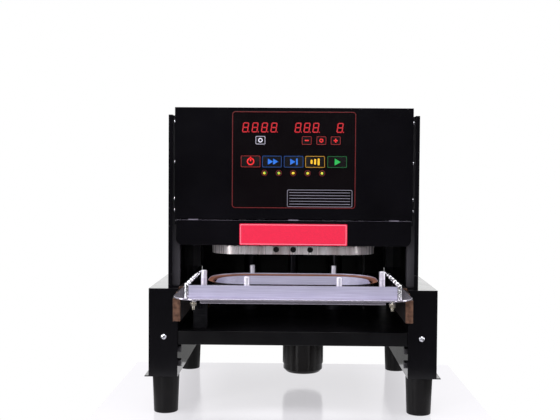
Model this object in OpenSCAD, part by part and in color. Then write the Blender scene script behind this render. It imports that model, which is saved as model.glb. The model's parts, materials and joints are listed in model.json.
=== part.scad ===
// Foil container sealing machine with a mould drawer, a heater plate press and two leg boxes.
// Millimetres. +X right and +Y into the machine as seen from the front, +Z up from the floor.

/* [Base] */
// Depth of the leg boxes from front to rear
base_d = 325; // [315:5:345]
// Width of the open bay between the leg boxes
bay_w = 317.4; // [313:0.2:325]
// Width of one leg box
leg_w = 40; // [34:1:46]
// Height of a leg box
leg_h = 122.5; // [118:0.5:128]
// Height of a foot
foot_h = 52; // [46:1:58]
// Foot diameter at its top
foot_top_d = 37.6; // [34:0.2:39]
// Foot diameter at the floor
foot_end_d = 33.6; // [28:0.2:36]
// Thickness of the leg box sheet
leg_t = 1.5; // [1:0.1:2.5]
// How far the bottom flange of a leg box stands out
leg_flange = 5.6; // [3:0.1:9]
// Height of the deck surface above the foot of the leg boxes
deck_rise = 63.5; // [60:0.5:66]
// Thickness of the deck sheet
deck_t = 2; // [1.5:0.1:3]
// Height of the folded edge of the deck
deck_fold = 19; // [14:0.5:24]

/* [Body] */
// Width over the side panels
body_w = 348; // [344:0.5:352]
// Height of the side panels
panel_h = 240; // [236:1:246]
// Thickness of the body sheet
sheet_t = 1.5; // [1.2:0.1:2]
// Distance of the side panels behind the leg box fronts
panel_set = 16; // [14:0.5:18]
// Width of the folded front edge of a side panel
panel_lip = 5.7; // [4:0.1:6]
// Width of the fascia and of the top cover
fascia_w = 331; // [327:0.5:333]
// Thickness of the fascia sheet
fascia_t = 1.2; // [1:0.1:1.5]
// Height of the top cover above the side panels
cover_rise = 10.5; // [8:0.5:14]
// Height of the front opening above the leg boxes
mouth_h = 59; // [56:0.5:62]
// Height of the safety door
door_h = 35; // [33:0.5:37]
// Gap between the safety door and the fascia
door_gap = 1.6; // [1.4:0.1:2.5]
// Width of the plate on the safety door
plate_w = 150; // [120:1:180]
// Height of the plate on the safety door
plate_h = 30; // [24:0.5:31]

/* [Control overlay] */
// Width of the overlay
overlay_w = 172.5; // [168:0.5:190]
// Height of the overlay
overlay_h = 135; // [132:0.5:140]
// Thickness of the overlay
overlay_t = 0.5; // [0.3:0.1:1]
// Height of a digit window
window_h = 20; // [18:0.5:22]
// Width of a large key
key_w = 27; // [22:0.5:28]
// Height of a large key
key_h = 16; // [12:0.5:18]
// Width of a small key
small_key_w = 13.5; // [10:0.1:14]
// Height of a small key
small_key_h = 11.5; // [9:0.1:12]
// Diameter of a status lamp
lamp_d = 8.3; // [6:0.1:9]

/* [Drawer] */
// Travel of the drawer
drawer_travel = 152.5; // [140:0.5:153]
// How far the open drawer stands out in front of the leg boxes
drawer_reach = 128; // [124:1:134]
// Width of the carriage plate
carriage_w = 301; // [299:0.5:302]
// How far the carriage plate reaches behind the mould
carriage_spare = 4.5; // [3:0.5:5.5]
// Thickness of the carriage plate
carriage_t = 2; // [1.5:0.1:3]
// Front corner radius of the carriage plate
carriage_r = 32; // [20:1:36]
// Width of the mould
mould_w = 261; // [258:0.5:264]
// Land in front of and behind the container rim
mould_land = 13.5; // [12.5:0.5:14]
// Thickness of the mould
mould_t = 15; // [12:0.5:16]
// Length of the container opening
seat_w = 205; // [200:0.5:208]
// Depth of the container opening
seat_d = 118; // [114:0.5:120]
// Corner radius of the container opening
seat_r = 45; // [38:0.5:48]
// Width of the ledge for the container rim
ledge = 10; // [8:0.1:10.5]
// Height of a locating pin above the mould
pin_h = 10.7; // [8:0.1:11.5]
// Diameter of a front or back locating pin
pin_d = 7; // [5:0.1:7.5]
// Diameter of a side locating pin
side_pin_d = 8; // [6:0.1:9]
// How far the mould can lift off the carriage
mould_lift = 1.4; // [1:0.1:1.5]
// Height of a telescopic rail
rail_h = 29; // [27:0.5:30]
// Width taken by the moving rail member
rail_w = 9.5; // [9:0.1:10]

/* [Press] */
// Travel of the heater plate
press_travel = 24; // [22:0.5:24.4]
// Width of the heater plate
heater_w = 238; // [232:0.5:240]
// Depth of the heater plate
heater_d = 142; // [138:0.5:142.5]
// Thickness of the heater plate
heater_t = 12; // [11.5:0.5:14]
// Corner radius of the heater plate
heater_r = 38; // [30:0.5:44]
// Diameter of a cartridge heater
cartridge_d = 8.4; // [6:0.1:10]
// Spacing of the cartridge heaters
cartridge_pitch = 24.4; // [20:0.2:28]
// Diameter of a guide column
column_d = 20; // [16:0.5:22]
// Spacing of the guide columns
column_span = 140; // [132:1:150]
// Diameter of the press screw
press_screw_d = 16; // [14:0.5:18]
// Diameter of the press motor
press_motor_d = 65; // [60:0.5:68]
// Distance of the press motor from the screw, across
press_motor_side = 17; // [14:0.5:20]
// Distance of the press motor from the screw, towards the front
press_motor_fore = 25; // [22:0.5:28]
// Height of the press motor above the floor
press_motor_z = 16; // [10:0.5:20]

/* [Hidden] */

$fn = 48;
// One overrun serves every cut
over = 1;
// Running clearance on a radius, and the gap between pieces that pass one another
run_fit = 0.05;
pass_gap = 0.3;

// Levels from the floor
leg_z = foot_h;
leg_top = leg_z + leg_h;
deck_z = leg_z + deck_rise;
panel_top = leg_top + panel_h;
cover_top = panel_top + cover_rise;
door_z = leg_top + mouth_h;
door_top = door_z + door_h;
fascia_z = door_top + door_gap;

// Places across
bay_x = bay_w / 2;
leg_x = bay_x + leg_w;
panel_x = body_w / 2;
fascia_x = fascia_w / 2;

// Places from front to rear: the object is centred on its full depth, with the drawer out
rear_proud = 6;
front_y = drawer_reach - (drawer_reach + base_d + rear_proud) / 2;
rear_y = front_y + base_d;
panel_y = front_y + panel_set;
fascia_set = 2;
fascia_y = panel_y + fascia_set;

// Feet
foot_inset = 1.6;
foot_x = leg_x - leg_w / 2 - foot_inset;
foot_end = 20;
foot_bore_d = 8.4;
foot_bolt_d = 8;
foot_recess_d = 18;
foot_recess = 6;
bolt_head_h = 5;
bolt_head_d = 14;
foot_nut_d = 15;
foot_nut_h = 6.5;
bolt_spare = 4;

// Leg box fixings
front_screw_drop = 67;
front_screw_z = leg_top - front_screw_drop;
front_screw_in = 21;
front_screw_d = 4;
front_head_d = 8;
front_head_h = 2.6;
inner_bolt_drops = [104.5, 85];
inner_bolt_zs = [for (drop = inner_bolt_drops) leg_top - drop];
inner_bolt_in = 12;
inner_bolt_d = 6;
inner_head_d = 11.5;
inner_head_h = 4;
screw_slack = 0.2;
screw_grip = 6;

// Deck
deck_set = 2;
shaft_hole_d = 16;

// Corner posts
post = 12.5;
post_set = 15;
front_post_y = fascia_y + post_set;
rear_post_y = rear_y - sheet_t - post;
post_wall = 1.5;
flange_t = sheet_t;
post_z = leg_top + flange_t;
post_top = panel_top - flange_t;
panel_in = panel_x - sheet_t;
panel_foot_w = 14;
panel_cap_w = 22;
notch_rise = 18;
panel_notch_z = leg_top + notch_rise;
panel_notch = 1;

// Side panel screws
low_screw_rise = 77;
high_screw_drop = 31;
panel_screw_zs = [leg_top + low_screw_rise, panel_top - high_screw_drop];
panel_screw_d = 4;
panel_head_d = 8.5;
panel_head_h = 2.4;

// Top cover and rear panel
skirt_t = 1.5;
louvre_w = 60;
louvre_h = 4;
louvre_pitch = 11;
louvre_count = 6;
louvre_x = 60;
louvre_drop = 100;
louvre_z = panel_top - louvre_drop;
rear_low_gap = 0.4;

// Power inlet and rocker
inlet_x = 100;
inlet_drop = 29;
inlet_z = leg_top - inlet_drop;
inlet_w = 27.6;
inlet_h = 20;
inlet_depth = 24;
inlet_flange_w = 50;
inlet_flange_h = 26;
inlet_flange_t = 3;
inlet_socket_w = 24;
inlet_socket_h = 16;
inlet_socket_depth = 17;
inlet_pin_w = 2;
inlet_pin_h = 4;
inlet_pin_l = 10;
inlet_pin_pitch = 7;
rocker_x = 50;
rocker_w = 11;
rocker_r = 9;
rocker_in = 4.6;
rocker_y = rear_y - rocker_in;
rocker_range = 20;
rocker_tilt = rocker_range / 2;
rocker_dish_r = 12;
rocker_dish_out = 18.5;
bezel_w = 19;
bezel_h = 26;
bezel_t = 2;
bezel_depth = 16;
bezel_wall = 1.5;

// Fascia
return_d = front_post_y - fascia_y;
ear_drop = 8;
overlay_margin = 4.9;
overlay_z = cover_top - overlay_margin - overlay_h;
window_drop = 22.6;
window_row_z = overlay_z + overlay_h - window_drop;
window_list = [[-46.2, 56], [19, 42], [66, 16]];
fixing_rises = [12, 28, 79, 135];
fixing_zs = [for (rise = fixing_rises) fascia_z + rise];
fixing_d = 5;
fixing_t = 1.8;
fixing_in = 5;

// Keys and lamps on the overlay, measured up from its lower edge
key_proud = 0.4;
key_r = 1.5;
big_key_xs = [-60, -30.4, -0.3, 29.5, 60.1];
big_key_z = 65.2;
small_key_xs = [17.7, 38, 57.8];
small_key_z = 94.7;
clear_key_x = -46.5;
lamp_xs = [-40.6, -20.7, -0.8, 19.3, 39.3];
lamp_z = 49.4;

// Control board behind the fascia
board_gap = 12;
board_t = 1.6;
board_w = 164;
board_h = 122;
board_leg_d = 6;
board_leg_inset = 5;
board_parts = [[-60, 30, 26, 22, 18], [-24, 30, 18, 16, 16], [8, 34, 22, 22, 12], [52, 28, 26, 16, 15],
    [-50, 84, 16, 16, 14], [46, 80, 20, 12, 9]];
module_depth = 10;
module_w_slack = 4;

// Safety door and its rod
rod_d = 2.5;
door_t = 1.2;
door_set = 0.3;
door_y = fascia_y + door_set;
rod_y = door_y + door_t + pass_gap + rod_d / 2;
rod_drop = 1;
rod_z = door_top - rod_drop;
knuckle_d = 5.5;
knuckle_w = 14;
knuckle_xs = [-140, 0, 140];
ear_x = fascia_x - sheet_t;
door_x = ear_x - pass_gap;
door_r = 9;
plate_t = 0.4;
plate_lift = 0.3;
switch_w = 20;
switch_d = 8;
switch_h = 10;
switch_x = 132;
switch_lever_t = 0.5;
switch_lever_w = 4;
switch_lever_h = 12;
switch_lever_in = 5.4;

// Mould level and the drawer
carriage_rise = 1;
carriage_z = leg_top + carriage_rise;
mould_z = carriage_z + carriage_t;
mould_top = mould_z + mould_t;
carriage_y = front_y - drawer_reach;
mould_set = 18.5;
mould_d = seat_d + 2 * (ledge + mould_land);
carriage_d = mould_set + mould_d + carriage_spare;
carriage_rear = carriage_y + carriage_d;
mould_y = carriage_y + mould_set;
mould_mid = mould_y + mould_d / 2;
mould_in_mid = mould_mid + drawer_travel;
tab_w = 46;
tab_d = 9;
carriage_cut_slack = 6;
carriage_cut_r = seat_r + carriage_cut_slack / 2;
tray_gap = 3.25;
tray_inset = 7.5;
tray_d = mould_d - 2 * tray_inset;
tray_h = 7;
tray_t = 1.5;

// Rim seal
ledge_depth = 3;
seal_t = 2;
seal_w = 6;

// Locating pins
front_pin_x = 58;
pin_edge = 6.5;
side_pin_x = 119.5;
pin_root = 8;
pin_chamfer = 0.8;

// Ribbed edging of the mould
rib_strip_t = 1;
rib_bar_d = 5;
rib_bar_count = 7;
rib_rings = 3;
rib_groove = 1.3;
rib_groove_depth = 0.7;
rib_bite = 0.5;
rib_rise = 2.5;
rib_dome = 1.2;

// Float studs and springs
stud_in = 5.5;
stud_x = mould_w / 2 - stud_in;
stud_front = 6;
stud_d = 4;
stud_hole_d = 5;
stud_root = 11;
washer_d = 9.5;
washer_t = 0.8;
tray_w = 2 * (stud_x - washer_d / 2 - tray_gap);
spring_least = 4.2;
spring_space = spring_least + mould_lift;
nut_af_d = 8;
nut_h = 3.2;
stud_tip = 4.6;
spring_wire = 0.8;
spring_turns = 2.75;
spring_mean_r = 3.6;
spring_rings = 8;
spring_sides = 6;
spring_seat = 0.3;

// Telescopic rails
rail_sheet = 1.5;
rail_gap = bay_x - carriage_w / 2;
rail_front = 20;
rail_len = 168;
fixed_rail_set = 14;
fixed_rail_len = 202;
rail_drop = 2;
rail_z = carriage_z - rail_h + rail_drop;

// Drawer screw
drawer_screw_x = -130;
drawer_screw_rise = 32;
drawer_screw_z = deck_z + drawer_screw_rise;
drawer_screw_d = 8;
nut_block_w = 20;
nut_block_d = 13.5;
nut_block_drop = 8;
block_w = 20;
block_d = 8;
block_rise = 9;
front_block_set = 26;
screw_nose = 4;
coupler_d = 16;
coupler_l = 16;
coupler_gap = 2;
drawer_motor_d = 37;
drawer_motor_l = 55;
motor_shaft_d = 6;
motor_foot_t = 3;
motor_foot_d = 20;
motor_neck = 2;
motor_clear = 12.5;
drawer_motor_set = base_d - sheet_t - motor_clear - drawer_motor_l - motor_neck;
coupler_set = drawer_motor_set - coupler_l;
rear_block_set = coupler_set - coupler_gap - block_d;

// Press
screw_set = 230;
screw_y = front_y + screw_set;
press_stop = 1.5;
heater_z = mould_top + press_stop + press_travel;
heater_mid = mould_in_mid;
heater_top = heater_z + heater_t;
cartridge_wall = 0.8;
cartridge_z = heater_top - cartridge_wall - cartridge_d / 2;
spacer_h = 20;
spacer_d = 16;
spacer_x = 80;
spacer_y = 45;
spacer_screw_d = 5;
arm_z = heater_top + spacer_h;
arm_t = 8;
arm_w = 200;
arm_reach = 58;
arm_front = heater_mid - arm_reach;
head_hang = 14;
head_z = arm_z - head_hang;
head_h = 60;
head_d = 38;
head_side = 22;
head_w = column_span + 2 * head_side;
head_front = screw_y - head_d / 2;
rib_t = 8;
rib_x = 50;
rib_low = 8;
rib_high = 36;
bush_wall = 4;
bush_flange_d = 36;
bush_flange_t = 3;
nut_body_d = 30;
nut_flange_d = 44;
nut_flange_t = 6;
notch_r = 6;
cartridge_reach = 120;
cartridge_inset = 1;
thermo_d = 5;
thermo_l = 26;
thermo_seat = 20;
thermo_x = heater_w / 2 - thermo_seat;
head_plate_drop = 35;
head_plate_z = panel_top - head_plate_drop;
head_plate_t = 8;
head_screw_d = 8;
head_screw_head_d = 13;
head_screw_head_h = 6;
head_screw_l = 24;
bearing_d = 40;
bearing_h = 12;
collar_d = 26;
collar_h = 5;
flange_d = 46;
flange_h = 10;
coupling_d = 26;
coupling_rise = 6;
coupling_z = deck_z + coupling_rise;
coupling_h = 30;
coupling_grip = 14;
shaft_d = 10;
shaft_drop = 20;
gearbox_h = 24;
gearbox_r = 36;
gearbox_nose_r = 26;
motor_chamfer = 5;
motor_step = 1.2;
motor_step_h = 16;
motor_boss_r = 9;
motor_boss_h = 2;

// Limit switches and power supply
limit_w = 20;
limit_d = 7;
limit_h = 11;
limit_rail_t = 3;
limit_side = 44;
limit_rail_x = column_span / 2 + limit_side;
limit_rises = [66, 96];
limit_zs = [for (rise = limit_rises) head_z + rise];
supply_w = 160;
supply_d = 42;
supply_h = 98;
supply_rise = 100;
supply_z = leg_top + supply_rise;
supply_gap = 3;
supply_leg_d = 9;
supply_inset = 12;

// Box from its low corner to its high corner
module block(low, high) {
    translate(low) cube(high - low);
}

// Round bar along X, Y or Z from its start point
module bar_x(d, l, at) { translate(at) rotate([0, 90, 0]) cylinder(d = d, h = l); }
module bar_y(d, l, at) { translate(at) rotate([-90, 0, 0]) cylinder(d = d, h = l); }
module bar_z(d, l, at) { translate(at) cylinder(d = d, h = l); }

// Both sides of the object, and one side
module both_sides() {
    children();
    mirror([1, 0, 0]) children();
}

// Outline of a rectangle with round corners, centred
module round_outline(w, d, r) {
    square([w - 2 * r, d], center = true);
    square([w, d - 2 * r], center = true);
    for (sx = [-1, 1], sy = [-1, 1]) translate([sx * (w / 2 - r), sy * (d / 2 - r)]) circle(r = r);
}

// Slab with round corners, centred on a point at its underside
module round_slab(w, d, r, h, at) {
    translate(at) linear_extrude(height = h) round_outline(w, d, r);
}

// Leg box on the right: closed folded sheet with its bottom flange
module leg_box() {
    foot_ys = [front_y + foot_end, rear_y - foot_end];
    difference() {
        union() {
            block([bay_x, front_y, leg_z], [leg_x, rear_y, leg_top]);
            block([bay_x, front_y, leg_z], [leg_x + leg_flange, rear_y, leg_z + leg_t]);
        }
        block([bay_x + leg_t, front_y + leg_t, leg_z + leg_t],
            [leg_x - leg_t, rear_y - leg_t, leg_top - leg_t]);
        bar_y(front_screw_d + 2 * screw_slack, leg_t + 2 * over,
            [leg_x - front_screw_in, front_y - over, front_screw_z]);
        for (z = inner_bolt_zs) {
            bar_x(inner_bolt_d + 2 * screw_slack, leg_t + 2 * over,
                [bay_x - over, front_y + inner_bolt_in, z]);
        }
        for (y = foot_ys) bar_z(foot_bore_d, leg_t + 2 * over, [foot_x, y, leg_z - over]);
    }
}

module left_leg_box() { color("#1b1a20") mirror([1, 0, 0]) leg_box(); }
module right_leg_box() { color("#1b1a20") leg_box(); }

// Tapered rubber foot with a bore and a recess for its bolt
module rubber_feet() {
    color("#141316") both_sides() for (y = [front_y + foot_end, rear_y - foot_end]) difference() {
        translate([foot_x, y, 0]) cylinder(d1 = foot_end_d, d2 = foot_top_d, h = foot_h);
        bar_z(foot_bore_d, foot_h + 2 * over, [foot_x, y, -over]);
        bar_z(foot_recess_d, foot_recess + over, [foot_x, y, -over]);
    }
}

// Bolt up through each foot into a nut inside the leg box
module foot_bolts() {
    head_z0 = foot_recess - bolt_head_h;
    color("#b9bac2") both_sides() for (y = [front_y + foot_end, rear_y - foot_end]) {
        bar_z(bolt_head_d, bolt_head_h, [foot_x, y, head_z0]);
        bar_z(foot_bolt_d, leg_z + leg_t + foot_nut_h + bolt_spare - foot_recess,
            [foot_x, y, foot_recess]);
        translate([foot_x, y, leg_z + leg_t]) cylinder(d = foot_nut_d, h = foot_nut_h, $fn = 6);
    }
}

// Pan head screw on the front of each leg box
module front_leg_screws() {
    x = leg_x - front_screw_in;
    color("#c9c9d2") both_sides() {
        bar_y(front_head_d, front_head_h, [x, front_y - front_head_h, front_screw_z]);
        bar_y(front_screw_d, screw_grip, [x, front_y, front_screw_z]);
    }
}

// Hexagon bolts on the inner faces of the leg boxes
module inner_leg_bolts() {
    y = front_y + inner_bolt_in;
    color("#8e8c96") both_sides() for (z = inner_bolt_zs) {
        translate([bay_x - inner_head_h, y, z]) rotate([0, 90, 0]) {
            cylinder(d = inner_head_d, h = inner_head_h, $fn = 6);
        }
        bar_x(inner_bolt_d, screw_grip, [bay_x, y, z]);
    }
}

// Deck sheet with folded front, rear and side edges
module deck_plate() {
    y0 = front_y + deck_set;
    y1 = rear_y - sheet_t;
    low = deck_z - deck_fold;
    color("#17161b") difference() {
        block([-bay_x, y0, low], [bay_x, y1, deck_z]);
        block([-bay_x + deck_t, y0 + deck_t, low - over], [bay_x - deck_t, y1 - deck_t, deck_z - deck_t]);
        bar_z(shaft_hole_d, deck_t + 2 * over, [0, screw_y, deck_z - deck_t - over]);
    }
}

// Square tube posts that carry the side panels
module corner_posts() {
    color("#202026") both_sides() for (y = [front_post_y, rear_post_y]) difference() {
        block([panel_in - post, y, post_z], [panel_in, y + post, post_top]);
        block([panel_in - post + post_wall, y + post_wall, post_z - over],
            [panel_in - post_wall, y + post - post_wall, post_top + over]);
        for (z = panel_screw_zs) {
            bar_x(panel_screw_d + 2 * screw_slack, post_wall + 2 * over,
                [panel_in - post_wall - over, y + post / 2, z]);
        }
    }
}

// Side panel on the right: one sheet with its front, top and foot folds
module side_panel() {
    y1 = rear_y - sheet_t;
    color("#19181d") difference() {
        block([panel_x - panel_cap_w, panel_y, leg_top], [panel_x, y1, panel_top]);
        block([panel_x - panel_cap_w - over, panel_y - over, leg_top - over],
            [panel_x - panel_foot_w, y1 + over, panel_top - flange_t]);
        block([panel_x - panel_foot_w - over, panel_y + sheet_t, leg_top + flange_t],
            [panel_in, y1 + over, panel_top - flange_t]);
        block([panel_x - panel_cap_w - over, panel_y - over, leg_top - over],
            [panel_x - panel_lip, panel_y + sheet_t + over, panel_top + over]);
        block([panel_x - panel_cap_w - over, panel_y - over, panel_top - flange_t - over],
            [panel_x - panel_lip, fascia_y + return_d, panel_top + over]);
        block([panel_x - panel_lip - over, panel_y - over, panel_notch_z],
            [panel_x + over, panel_y + sheet_t, panel_notch_z + panel_notch]);
        for (y = [front_post_y, rear_post_y], z = panel_screw_zs) {
            bar_x(panel_screw_d + 2 * screw_slack, sheet_t + 2 * over, [panel_in - over, y + post / 2, z]);
        }
    }
}

module left_side_panel() { mirror([1, 0, 0]) side_panel(); }
module right_side_panel() { side_panel(); }

// Button head screws through the side panels into the posts
module side_panel_screws() {
    color("#2a2930") both_sides() for (y = [front_post_y, rear_post_y], z = panel_screw_zs) {
        bar_x(panel_head_d, panel_head_h, [panel_x, y + post / 2, z]);
        bar_x(panel_screw_d, screw_grip, [panel_x - screw_grip, y + post / 2, z]);
    }
}

// Top cover: a shallow tray turned down over the body, open to the fascia
module top_cover() {
    y0 = fascia_y + fascia_t;
    color("#1b1a20") difference() {
        block([-fascia_x, y0, panel_top], [fascia_x, rear_y, cover_top]);
        block([-fascia_x + skirt_t, y0 - over, panel_top - over],
            [fascia_x - skirt_t, rear_y - skirt_t, cover_top - skirt_t]);
        block([-fascia_x - over, y0 - over, panel_top - over],
            [fascia_x + over, fascia_y + return_d, cover_top - skirt_t]);
    }
}

// Rear panel with louvres, the inlet and rocker holes, and a narrower foot between the leg boxes
module rear_panel() {
    y0 = rear_y - sheet_t;
    foot_half = bay_x - rear_low_gap;
    color("#1b1a20") difference() {
        union() {
            block([-panel_x, y0, leg_top], [panel_x, rear_y, panel_top]);
            block([-foot_half, y0, deck_z], [foot_half, rear_y, leg_top + over]);
        }
        for (side = [-1, 1], i = [0 : louvre_count - 1]) {
            z = louvre_z + i * louvre_pitch;
            x = side * louvre_x;
            block([x - louvre_w / 2, y0 - over, z], [x + louvre_w / 2, rear_y + over, z + louvre_h]);
        }
        block([inlet_x - inlet_w / 2, y0 - over, inlet_z - inlet_h / 2],
            [inlet_x + inlet_w / 2, rear_y + over, inlet_z + inlet_h / 2]);
        block([rocker_x - bezel_w / 2 + bezel_wall, y0 - over, inlet_z - bezel_h / 2 + bezel_wall],
            [rocker_x + bezel_w / 2 - bezel_wall, rear_y + over, inlet_z + bezel_h / 2 - bezel_wall]);
    }
}

// Mains inlet: flanged housing with an open socket and three pins
module power_inlet() {
    mouth_y = rear_y + rear_proud;
    color("#242329") difference() {
        union() {
            block([inlet_x - inlet_w / 2, rear_y - inlet_depth, inlet_z - inlet_h / 2],
                [inlet_x + inlet_w / 2, mouth_y, inlet_z + inlet_h / 2]);
            block([inlet_x - inlet_flange_w / 2, rear_y, inlet_z - inlet_flange_h / 2],
                [inlet_x + inlet_flange_w / 2, rear_y + inlet_flange_t, inlet_z + inlet_flange_h / 2]);
        }
        block([inlet_x - inlet_socket_w / 2, mouth_y - inlet_socket_depth, inlet_z - inlet_socket_h / 2],
            [inlet_x + inlet_socket_w / 2, mouth_y + over, inlet_z + inlet_socket_h / 2]);
    }
    color("#c8c5b8") for (i = [-1, 0, 1]) {
        x = inlet_x + i * inlet_pin_pitch;
        z = inlet_z + (i == 0 ? inlet_pin_h / 2 : -inlet_pin_h / 2);
        block([x - inlet_pin_w / 2, mouth_y - inlet_socket_depth, z - inlet_pin_h / 2],
            [x + inlet_pin_w / 2, mouth_y - inlet_socket_depth + inlet_pin_l, z + inlet_pin_h / 2]);
    }
}

// Bezel round the rocker: a frame on the rear panel with a closed back
module rocker_bezel() {
    w = bezel_w - 2 * bezel_wall;
    h = bezel_h - 2 * bezel_wall;
    color("#2b2a31") difference() {
        union() {
            block([rocker_x - bezel_w / 2, rear_y, inlet_z - bezel_h / 2],
                [rocker_x + bezel_w / 2, rear_y + bezel_t, inlet_z + bezel_h / 2]);
            block([rocker_x - w / 2, rear_y - bezel_depth, inlet_z - h / 2],
                [rocker_x + w / 2, rear_y, inlet_z + h / 2]);
        }
        block([rocker_x - rocker_w / 2 - pass_gap, rear_y - bezel_depth + bezel_wall,
            inlet_z - rocker_r - pass_gap],
            [rocker_x + rocker_w / 2 + pass_gap, rear_y + bezel_t + over,
            inlet_z + rocker_r + pass_gap]);
    }
}

// Rocker: a half drum with a dished face, tilted at rest
module power_rocker() {
    at = [rocker_x, rocker_y, inlet_z];
    color("#b3202a") translate(at) rotate([rocker_tilt, 0, 0]) difference() {
        bar_x(2 * rocker_r, rocker_w, [-rocker_w / 2, 0, 0]);
        block([-rocker_w / 2 - over, -rocker_r - over, -rocker_r - over],
            [rocker_w / 2 + over, 0, rocker_r + over]);
        bar_x(2 * rocker_dish_r, rocker_w + 2 * over, [-rocker_w / 2 - over, rocker_dish_out, 0]);
    }
}

// Fascia sheet with side returns, ears for the door rod, digit windows and a recess for the overlay
module front_fascia() {
    y1 = fascia_y + fascia_t;
    color("#1d1c22") difference() {
        union() {
            block([-fascia_x, fascia_y, fascia_z], [fascia_x, y1, cover_top]);
            both_sides() {
                block([ear_x, fascia_y, fascia_z],
                    [fascia_x, fascia_y + return_d, cover_top - skirt_t]);
                block([ear_x, fascia_y, fascia_z - ear_drop],
                    [fascia_x, fascia_y + return_d, fascia_z + over]);
            }
        }
        for (w = window_list) {
            block([w[0] - w[1] / 2, fascia_y - over, window_row_z - window_h / 2],
                [w[0] + w[1] / 2, y1 + over, window_row_z + window_h / 2]);
        }
        bar_x(rod_d, fascia_w + 2 * over, [-fascia_x - over, rod_y, rod_z]);
    }
}

// Pan head screws on the side returns of the fascia, seen in the gap beside it
module fascia_fixings() {
    color("#d9d9e0") both_sides() for (z = fixing_zs) {
        bar_x(fixing_d, fixing_t, [fascia_x, fascia_y + fixing_in, z]);
    }
}

// Overlay sheet on the fascia
module control_overlay() {
    color("#211d24") round_panel(overlay_w, overlay_h, overlay_margin, overlay_t,
        [0, fascia_y, overlay_z + overlay_h / 2]);
}

// Sheet with round corners that stands in front of a point, centred on it
module round_panel(w, h, r, t, at) {
    translate(at) rotate([90, 0, 0]) linear_extrude(height = t) round_outline(w, h, r);
}

// Keys of the overlay: five large, three small and one clear key, slightly proud
module control_keys() {
    y = fascia_y - overlay_t;
    big_colours = ["#e02020", "#1e66c8", "#1e66c8", "#f0b41e", "#1fa04a"];
    for (i = [0 : len(big_key_xs) - 1]) color(big_colours[i]) {
        round_panel(key_w, key_h, key_r, key_proud, [big_key_xs[i], y, overlay_z + big_key_z]);
    }
    for (x = small_key_xs) color("#e02020") {
        round_panel(small_key_w, small_key_h, key_r, key_proud, [x, y, overlay_z + small_key_z]);
    }
    color("#24222a") round_panel(small_key_w, small_key_h, key_r, key_proud,
        [clear_key_x, y, overlay_z + small_key_z]);
}

// Round status lamps on the overlay
module status_lamps() {
    y = fascia_y - overlay_t;
    color("#c9a52c") for (x = lamp_xs) {
        bar_y(lamp_d, key_proud, [x, y - key_proud, overlay_z + lamp_z]);
    }
}

// Digit modules seated on the board behind the fascia windows
module digit_modules() {
    y0 = fascia_y + fascia_t + board_gap - module_depth;
    color("#3a1014") for (w = window_list) {
        half = w[1] / 2 - module_w_slack / 2;
        block([w[0] - half, y0, window_row_z - window_h / 2 + over],
            [w[0] + half, fascia_y + fascia_t + board_gap, window_row_z + window_h / 2 - over]);
    }
}

// Control board on four stand-offs, with its larger components
module control_board() {
    y0 = fascia_y + fascia_t + board_gap;
    z0 = overlay_z + (overlay_h - board_h) / 2;
    color("#1f5a38") block([-board_w / 2, y0, z0], [board_w / 2, y0 + board_t, z0 + board_h]);
    color("#c8c8c8") for (sx = [-1, 1], z = [z0 + board_leg_inset, z0 + board_h - board_leg_inset]) {
        bar_y(board_leg_d, board_gap, [sx * (board_w / 2 - board_leg_inset), fascia_y + fascia_t, z]);
    }
    color("#26262c") for (p = board_parts) {
        block([p[0] - p[2] / 2, y0 + board_t, z0 + p[1] - p[3] / 2],
            [p[0] + p[2] / 2, y0 + board_t + p[4], z0 + p[1] + p[3] / 2]);
    }
}

// Safety door: a sheet with round lower corners and three knuckles round the rod
module safety_door() {
    color("#1d1c22") difference() {
        union() {
            block([-door_x, door_y, door_z + door_r], [door_x, door_y + door_t, door_top]);
            block([-door_x + door_r, door_y, door_z], [door_x - door_r, door_y + door_t, door_top]);
            both_sides() bar_y(2 * door_r, door_t, [door_x - door_r, door_y, door_z + door_r]);
            for (x = knuckle_xs) bar_x(knuckle_d, knuckle_w, [x - knuckle_w / 2, rod_y, rod_z]);
        }
        bar_x(rod_d + 2 * run_fit, 2 * door_x + 2 * over, [-door_x - over, rod_y, rod_z]);
    }
}

// Plain plate fixed on the front of the safety door
module door_plate() {
    color("#f0144f") block([-plate_w / 2, door_y - plate_t, door_z + plate_lift],
        [plate_w / 2, door_y, door_z + plate_lift + plate_h]);
}

// Rod that the safety door hangs on, held in the ears of the fascia
module door_rod() { color("#b0b0ba") bar_x(rod_d, fascia_w, [-fascia_x, rod_y, rod_z]); }

// Lever switch on the back of the fascia that senses the safety door
module door_switch() {
    y0 = fascia_y + fascia_t;
    z0 = fascia_z + ear_drop;
    lever_y = y0 + switch_lever_in;
    color("#2c2b30") block([switch_x - switch_w / 2, y0, z0],
        [switch_x + switch_w / 2, y0 + switch_d, z0 + switch_h]);
    color("#c0c0c8") block([switch_x - switch_lever_w / 2, lever_y, z0 - switch_lever_h],
        [switch_x + switch_lever_w / 2, lever_y + switch_lever_t, z0]);
}

// Guide columns from the deck to the head plate
module guide_columns() {
    color("#b8bac4") both_sides() difference() {
        bar_z(column_d, head_plate_z - deck_z, [column_span / 2, screw_y, deck_z]);
        bar_z(head_screw_d, head_screw_l + over,
            [column_span / 2, screw_y, head_plate_z - head_screw_l]);
    }
}

// Flanges that clamp the columns on the deck
module column_flanges() {
    color("#8e9098") both_sides() difference() {
        bar_z(flange_d, flange_h, [column_span / 2, screw_y, deck_z]);
        bar_z(column_d, flange_h + 2 * over, [column_span / 2, screw_y, deck_z - over]);
    }
}

// Plate across the tops of the columns
module head_plate() {
    color("#a8aab4") difference() {
        block([-head_w / 2, head_front, head_plate_z],
            [head_w / 2, head_front + head_d, head_plate_z + head_plate_t]);
        bar_z(press_screw_d + 4 * pass_gap, head_plate_t + 2 * over, [0, screw_y, head_plate_z - over]);
        both_sides() bar_z(head_screw_d, head_plate_t + 2 * over,
            [column_span / 2, screw_y, head_plate_z - over]);
    }
}

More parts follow.
